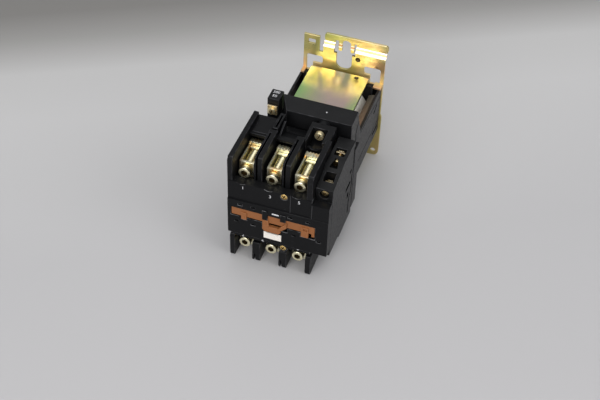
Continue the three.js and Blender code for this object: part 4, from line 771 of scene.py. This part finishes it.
# The small terminals are painted darker than the main ones, as painted shade for the deep black pits they sit
# in.
shaded_aux_brass = plated(
    "shaded_aux_brass", [(0.0, 0.40, 0.27, 0.10), (1.0, 0.70, 0.57, 0.31)], patch=420, roughness=0.25,
)
shaded_aux_cage = plated(
    "shaded_aux_cage", [(0.0, 0.26, 0.18, 0.08), (1.0, 0.53, 0.44, 0.25)], patch=300, roughness=0.34,
)
for step, head_front, upper, lower in (("front", 10.2, 91.0, 30.2), ("rear", 37.6, 98.6, 25.0)):
    for level, height in (("upper", upper), ("lower", lower)):
        key = level + "_" + step
        finished(
            rounded("aux_terminal_" + key, 0.15), "folded_aux_terminal_" + key, shaded_aux_cage,
            "base", ["aux_terminal_" + key],
        )
        finished(
            rounded("aux_clamp_" + key, 0.15), "pressed_aux_clamp_" + key, shaded_aux_cage,
            "aux_%s_pad" % key, ["aux_clamp_" + key],
        )
        low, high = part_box("aux_screw_" + key)
        tip = high.y / MM + FRONT_TO_MIDDLE
        middle = (35.3, height)
        outline = [(0, head_front)] + domed(3.0, head_front, head_front + 2.4)[1:]
        outline += [(1.7, head_front + 2.4), (1.7, tip - 0.4), (1.3, tip), (0, tip)]
        head = carved(turned(outline, middle), cross_slots(middle, head_front, 1.9, 0.75, 1.2, 40))
        head = finished(
            head, "turned_aux_screw_" + key, shaded_aux_brass, "aux_%s_screw" % key, ["aux_screw_" + key],
        )
        pocketed(head, middle, head_front, 1.95, 1.2)
for step in ("front", "rear"):
    bridge = "aux_bridge_" + step
    finished(rounded(bridge, 0.12), "pressed_" + bridge, bare_copper, "carrier", [bridge])


# Magnet housing
# The rear black moulding: a flange and cross-bar against the pole housing, the coil's two
# terminal ears on the left, and a trough with side walls that holds the magnet.
black_magnet = moulded("black_magnet", (0.0074, 0.0075, 0.0083), (0.09, 0.09, 0.10), roughness=0.40)
# Joint lines and slots cut into the right-hand side, their faces painted with shade.
side_marks = bmesh.new()
for line, half_width in (
    ([(96.4, 99.6), (89.6, 94.2), (87.6, 89.5), (89.0, 81.6)], 0.9),
    ([(166.0, 70.6), (136.0, 76.0), (104.0, 78.6)], 0.4),
    ([(166.0, 45.4), (100.0, 47.4)], 0.45),
    ([(154.0, 69.6), (146.0, 66.4)], 1.3),
    ([(161.0, 40.5), (147.6, 40.9)], 1.4),
):
    traced(side_marks, line, 36.1, 37.3, half_width, half_width)
finished(
    rounded("magnet_housing", 0.35, cut=side_marks), "moulded_magnet_housing", black_magnet,
    "base",
    ["magnet_housing"], grooves=groove_shade,
)
speck = bmesh.new()
bmesh.ops.create_cone(
    speck, cap_ends=True, segments=14, radius1=0.8 * MM, radius2=0.5 * MM, depth=0.12 * MM,
    matrix=Matrix.Translation(place(12.6, 81.6, 110.5)),
)
finished(speck, "cross_bar_gate_scar", figure_paint, "base")
for name, number, along_y in (("coil_figure_rear", "380", 91.4), ("coil_figure_front", "50", 86.4)):
    figure(name, number, -34.2, along_y, 2.9, 110.5, lying=True)


# Magnet yoke and core
# A strip of thick steel bent into a U round the coil and plated with yellow chromate, whose
# thin film runs from mauve and green at the front to gold at the rear bends; the pale gold blotches at the
# rear are partly the film and partly a painted reflection of the rail plate behind.
def rear_bend(edge):
    """The two long outer bends at the back of the yoke."""
    first, second = (point.co for point in edge.verts)
    rear = min(first.y, second.y) > place(0, 162.0, 0).y
    return rear and abs(first.x - second.x) > 40 * MM and abs(first.z - second.z) < 0.1 * MM


chromate, nodes, links, shader, own = shaded("yoke_chromate")
sideways = eased(nodes, links, along(nodes, links, own, "X"), -0.027, 0.027)
mottle = worked(nodes, links, "SUBTRACT", cloud(nodes, links, own, 30, 0), 0.5)
across = worked(nodes, links, "ADD", sideways, worked(nodes, links, "MULTIPLY", mottle, 0.6))
front_film = tinted(nodes, links, across, [
    (0.0, 0.36, 0.58, 0.24), (1.0, 0.43, 0.56, 0.26), (0.26, 0.46, 0.50, 0.30), (0.46, 0.55, 0.44, 0.41),
    (0.76, 0.56, 0.44, 0.40),
])
# Towards the rear: pale gold blotches, partly the film's own tone and partly a painted reflection of the gold
# rail plate.
blotches = eased(nodes, links, cloud(nodes, links, own, 62, 1, (1.4, 0.5, 1)), 0.36, 0.64)
rear_film_and_reflection = tinted(nodes, links, blotches, [
    (0.0, 0.47, 0.46, 0.26), (1.0, 0.85, 0.83, 0.65), (0.35, 0.76, 0.62, 0.36), (0.65, 0.85, 0.75, 0.44),
])
slide_along = eased(nodes, links, along(nodes, links, own, "Y"), 0.034, 0.078)
rearward = worked(nodes, links, "ADD", slide_along, worked(nodes, links, "MULTIPLY", worked(
    nodes, links, "SUBTRACT", cloud(nodes, links, own, 48, 1, (1.4, 0.6, 1)), 0.5), 0.6))
links.new(
    blended(nodes, links, eased(nodes, links, rearward, 0.15, 0.85), front_film, rear_film_and_reflection),
    shader.inputs["Base Color"],
)
shader.inputs["Metallic"].default_value = 1.0
links.new(
    eased(nodes, links, cloud(nodes, links, own, 300, 3), 0.3, 0.7, 0.20, 0.26), shader.inputs["Roughness"],
)
raised(nodes, links, shader, [(cloud(nodes, links, own, 40, 1), 0.06, 0.8)])


def dimple(x, y, z, radius):
    """A shallow round punch mark's tool, a ball that reaches a little into the sheet."""
    tool = bmesh.new()
    bmesh.ops.create_icosphere(
        tool, subdivisions=3, radius=radius * MM, matrix=Matrix.Translation(place(x, y, z)),
    )
    return tool


yoke_shape = rounded("magnet_yoke", 0.3, rear_bend, 2.6, cut=dimple(16, 156.5, 92.7, 2.3))
finished(
    yoke_shape, "bent_magnet_yoke", chromate, "base", ["magnet_yoke"], grooves=recess_shade,
)
finished(rounded("magnet_core", 0.3), "cut_magnet_core", bare_steel, "base", ["magnet_core"])


# Coil
# A black bobbin wound with copper wire and wrapped in cream crepe tape, whose turns overlap
# along the coil, beside a thin brown sheet folded over the gap, painted darker towards the rear as painted
# shade. Clamps on the ears take its two wires.
finished(
    rounded("coil_bobbin", 0.3), "moulded_coil_bobbin", black_magnet, "base",
    ["coil_bobbin"],
)

crepe, nodes, links, shader, own = shaded("crepe_tape")
lap = nodes.new("ShaderNodeTexWave")
lap.wave_type = "BANDS"
lap.bands_direction = "Y"
lap.wave_profile = "SAW"
lap.inputs["Scale"].default_value = 28
lap.inputs["Distortion"].default_value = 0.6
links.new(own, lap.inputs["Vector"])
crinkle = cloud(nodes, links, own, 1500, 4, (1, 0.25, 1))
aged = eased(nodes, links, cloud(nodes, links, own, 120, 4), 0.35, 0.7)
tape = blended(nodes, links, aged, (0.95, 0.92, 0.84), (0.88, 0.80, 0.68))
lapped = eased(nodes, links, lap.outputs["Fac"], 0.88, 1.0, 0, 0.35)
links.new(blended(nodes, links, lapped, tape, (0.50, 0.40, 0.28)), shader.inputs["Base Color"])
shader.inputs["Roughness"].default_value = 0.62
shader.inputs["Sheen Weight"].default_value = 0.15
raised(nodes, links, shader, [(lap.outputs["Fac"], 0.3, 0.2), (crinkle, 0.25, 0.06)])
WRAP_START, WRAP_END = 95.1, 153.7
WRAP_INSIDE = 12.0
LAP_WIDTH = 4.5
wrap = [(WRAP_INSIDE, WRAP_START)]
for turn_number in range(13):
    near = WRAP_START + LAP_WIDTH * turn_number
    wrap += [(30.62, near + 0.02), (30.9, near + 0.5), (31.0, near + 3.2), (30.86, near + 4.4)]
wrap += [(30.5, WRAP_END), (WRAP_INSIDE, WRAP_END)]
wrap = [point for point in wrap if point[1] <= WRAP_END] + [(WRAP_INSIDE, WRAP_START)]
winding = turned(wrap, (0, MAGNET_AXIS_Z), 96)
finished(winding, "wrapped_coil_winding", crepe, "base", ["coil_winding"], sharp=50)

brown_sheet, nodes, links, shader, own = shaded("brown_sheet")
fibres = cloud(nodes, links, own, 900, 5, (1, 0.15, 1))
sheet_colour = blended(
    nodes, links, eased(nodes, links, fibres, 0.3, 0.7), (0.26, 0.146, 0.086), (0.37, 0.22, 0.13),
)
# Painted shade: the sheet goes over to near black towards the rear.
rear_shade = eased(nodes, links, along(nodes, links, own, "Y"), 0.008, 0.060)
links.new(blended(nodes, links, rear_shade, sheet_colour, (0.09, 0.076, 0.056)), shader.inputs["Base Color"])
shader.inputs["Roughness"].default_value = 0.5
raised(nodes, links, shader, [(fibres, 0.3, 0.05)])
sheet = bmesh.new()
profile = [place(x, 96.0, z) for x, z in (
    (33.8, 45.0), (34.35, 45.0), (34.35, 80.5), (34.0, 80.85), (29.3, 79.3), (29.4, 78.8), (33.8, 80.2))]
low_end = [sheet.verts.new(point) for point in profile]
high_end = [sheet.verts.new(point + Vector((0, 57.2 * MM, 0))) for point in profile]
sheet.faces.new(low_end)
sheet.faces.new(reversed(high_end))
for number in range(len(profile)):
    following = (number + 1) % len(profile)
    sheet.faces.new((low_end[number], high_end[number], high_end[following], low_end[following]))
bmesh.ops.recalc_face_normals(sheet, faces=sheet.faces)
bmesh.ops.bevel(
    sheet, geom=sheet.edges[:], offset=0.08 * MM, offset_type="OFFSET", segments=1, profile=0.5,
    affect="EDGES", material=-1,
)
finished(sheet, "coil_side_sheet", brown_sheet, "base")

COIL_SCREW_X = -33.75
COIL_SCREW_FRONT = 76.9
golden_clamp = plated(
    "golden_clamp", [(0.0, 0.92, 0.68, 0.33), (1.0, 1.0, 0.92, 0.62)], patch=260, roughness=0.30, metal=0.8,
)
for level, height in (("upper", 100.5), ("lower", 12.5)):
    clamp = "coil_clamp_" + level
    finished(
        rounded(clamp, 0.2), "pressed_" + clamp, golden_clamp, "coil_%s_pad" % level, [clamp],
    )
    low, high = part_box("coil_screw_" + level)
    tip = high.y / MM + FRONT_TO_MIDDLE
    middle = (COIL_SCREW_X, height)
    outline = [(0, COIL_SCREW_FRONT)] + domed(3.1, COIL_SCREW_FRONT, 79.3)[1:]
    outline += [(1.7, 79.3), (1.7, tip - 0.4), (1.3, tip), (0, tip)]
    head = carved(turned(outline, middle), cross_slots(middle, COIL_SCREW_FRONT, 1.9, 0.75, 1.2, 15))
    head = finished(
        head, "turned_coil_screw_" + level, golden_clamp, "coil_%s_screw" % level,
        ["coil_screw_" + level],
    )
    pocketed(head, middle, COIL_SCREW_FRONT, 1.95, 1.2)


# Body screw
# A plated screw, deep in its pit behind the third pole, joins the two housings.
BODY_SCREW = (14, 104)
BODY_SCREW_FRONT = 57.4
low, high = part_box("body_screw")
tip = high.y / MM + FRONT_TO_MIDDLE
outline = [(0, BODY_SCREW_FRONT)] + domed(3.8, BODY_SCREW_FRONT, 61.0)[1:]
outline += [(2.0, 61.0), (2.0, tip - 0.5), (1.5, tip), (0, tip)]
head = carved(turned(outline, BODY_SCREW), cross_slots(BODY_SCREW, BODY_SCREW_FRONT, 2.3, 0.85, 1.4, 20))
head = finished(head, "turned_body_screw", golden_clamp, "base", ["body_screw"])
pocketed(head, BODY_SCREW, BODY_SCREW_FRONT, 2.35, 1.4)


# Rail plate and latch
# The plate is stamped from sheet steel, with a hooked lip over the rail, an ear, two arms and a
# foot, and a sprung latch slides behind it. Both are plated a bright yellow chromate, with painted highlights
# on the lip's two bends, painted shade on the step between them and painted shade towards the bottom.
plate_coat = plated("plate_chromate", [
    (0.0, 0.58, 0.53, 0.20), (1.0, 0.90, 0.54, 0.29), (0.25, 0.75, 0.62, 0.21), (0.45, 0.94, 0.73, 0.29),
    (0.62, 0.94, 0.79, 0.39),
    (0.80, 0.92, 0.64, 0.30),
], patch=30, roughness=0.33, grain=0.04, stretch=(0.3, 1, 1), lines=400, metal=0.9, spotted=0.1)
nodes, links = plate_coat.node_tree.nodes, plate_coat.node_tree.links
shader = nodes["Principled BSDF"]
own = nodes["Texture Coordinate"].outputs["Object"]
BENDS_FROM, BENDS_TO = 0.1086, 0.1146
past_ear = worked(nodes, links, "GREATER_THAN", along(nodes, links, own, "X"), -20.0 * MM)
upward = worked(nodes, links, "MULTIPLY", along(nodes, links, own, "Z"), past_ear)
# Painted highlights: two pale cream bands across the lip's two bends.
bend_highlights = tinted(nodes, links, eased(nodes, links, upward, BENDS_FROM, BENDS_TO), [
    (0.0, 0, 0, 0), (1.0, 0, 0, 0), (0.13, 0, 0, 0), (0.20, 1, 1, 1), (0.40, 1, 1, 1), (0.47, 0, 0, 0),
    (0.72, 0, 0, 0),
    (0.78, 1, 1, 1), (0.88, 1, 1, 1), (0.93, 0, 0, 0),
])
# Painted shade: the step between the two bends is painted a darker orange.
between = tinted(nodes, links, eased(nodes, links, upward, BENDS_FROM, BENDS_TO), [
    (0.0, 0, 0, 0), (1.0, 0, 0, 0), (0.10, 0, 0, 0), (0.14, 1, 1, 1), (0.88, 1, 1, 1), (0.92, 0, 0, 0)])
# Painted shade: the plate goes over to a darker olive towards the bottom.
low_down = eased(nodes, links, along(nodes, links, own, "Z"), 0.030, 0.075, 0.75, 0.0)
coat = blended(nodes, links, low_down, shader.inputs["Base Color"].links[0].from_socket, (0.52, 0.45, 0.18))
step = blended(nodes, links, between, coat, (0.60, 0.35, 0.15))
links.new(blended(nodes, links, bend_highlights, step, (1.0, 0.93, 0.78)), shader.inputs["Base Color"])
satin = shader.inputs["Roughness"].links[0].from_socket
dulled = eased(nodes, links, along(nodes, links, own, "Z"), 0.092, 0.103, 0.62, 0.0)
links.new(worked(nodes, links, "MAXIMUM", satin, dulled), shader.inputs["Roughness"])


def joggle(edge):
    """The long bends where the plate steps back to its lip."""
    first, second = (point.co for point in edge.verts)
    at_step = 108.5 * MM < min(first.z, second.z) < 114.6 * MM
    long_and_level = abs(first.z - second.z) < 0.1 * MM and abs(first.x - second.x) > 6 * MM
    return at_step and long_and_level and edge.calc_face_angle(0.0) > math.radians(12)


plate_tool = dimple(13.4, 166.2, 103.2, 2.5)
block(plate_tool, (-8.6, 166.0, 105.4), (-5.6, 170.0, 109.5))
block(plate_tool, (7.2, 166.0, 105.8), (10.8, 170.0, 109.5))
plate_shape = rounded("mounting_plate", 0.25, joggle, 0.9, cut=plate_tool)
finished(
    plate_shape, "stamped_mounting_plate", plate_coat, "base", ["mounting_plate"],
    grooves=recess_shade,
)
finished(
    rounded("rail_latch", 0.25), "stamped_rail_latch", plate_coat, "latch", ["rail_latch"],
)
finished(
    wound("latch", (0, 169.25), 36.6, 53.7, 1.9, 0.35, 6, upright=True),
    "wound_latch_spring", bare_steel, "base", ["latch_spring"],
)
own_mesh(bpy.data.objects["wound_latch_spring"])
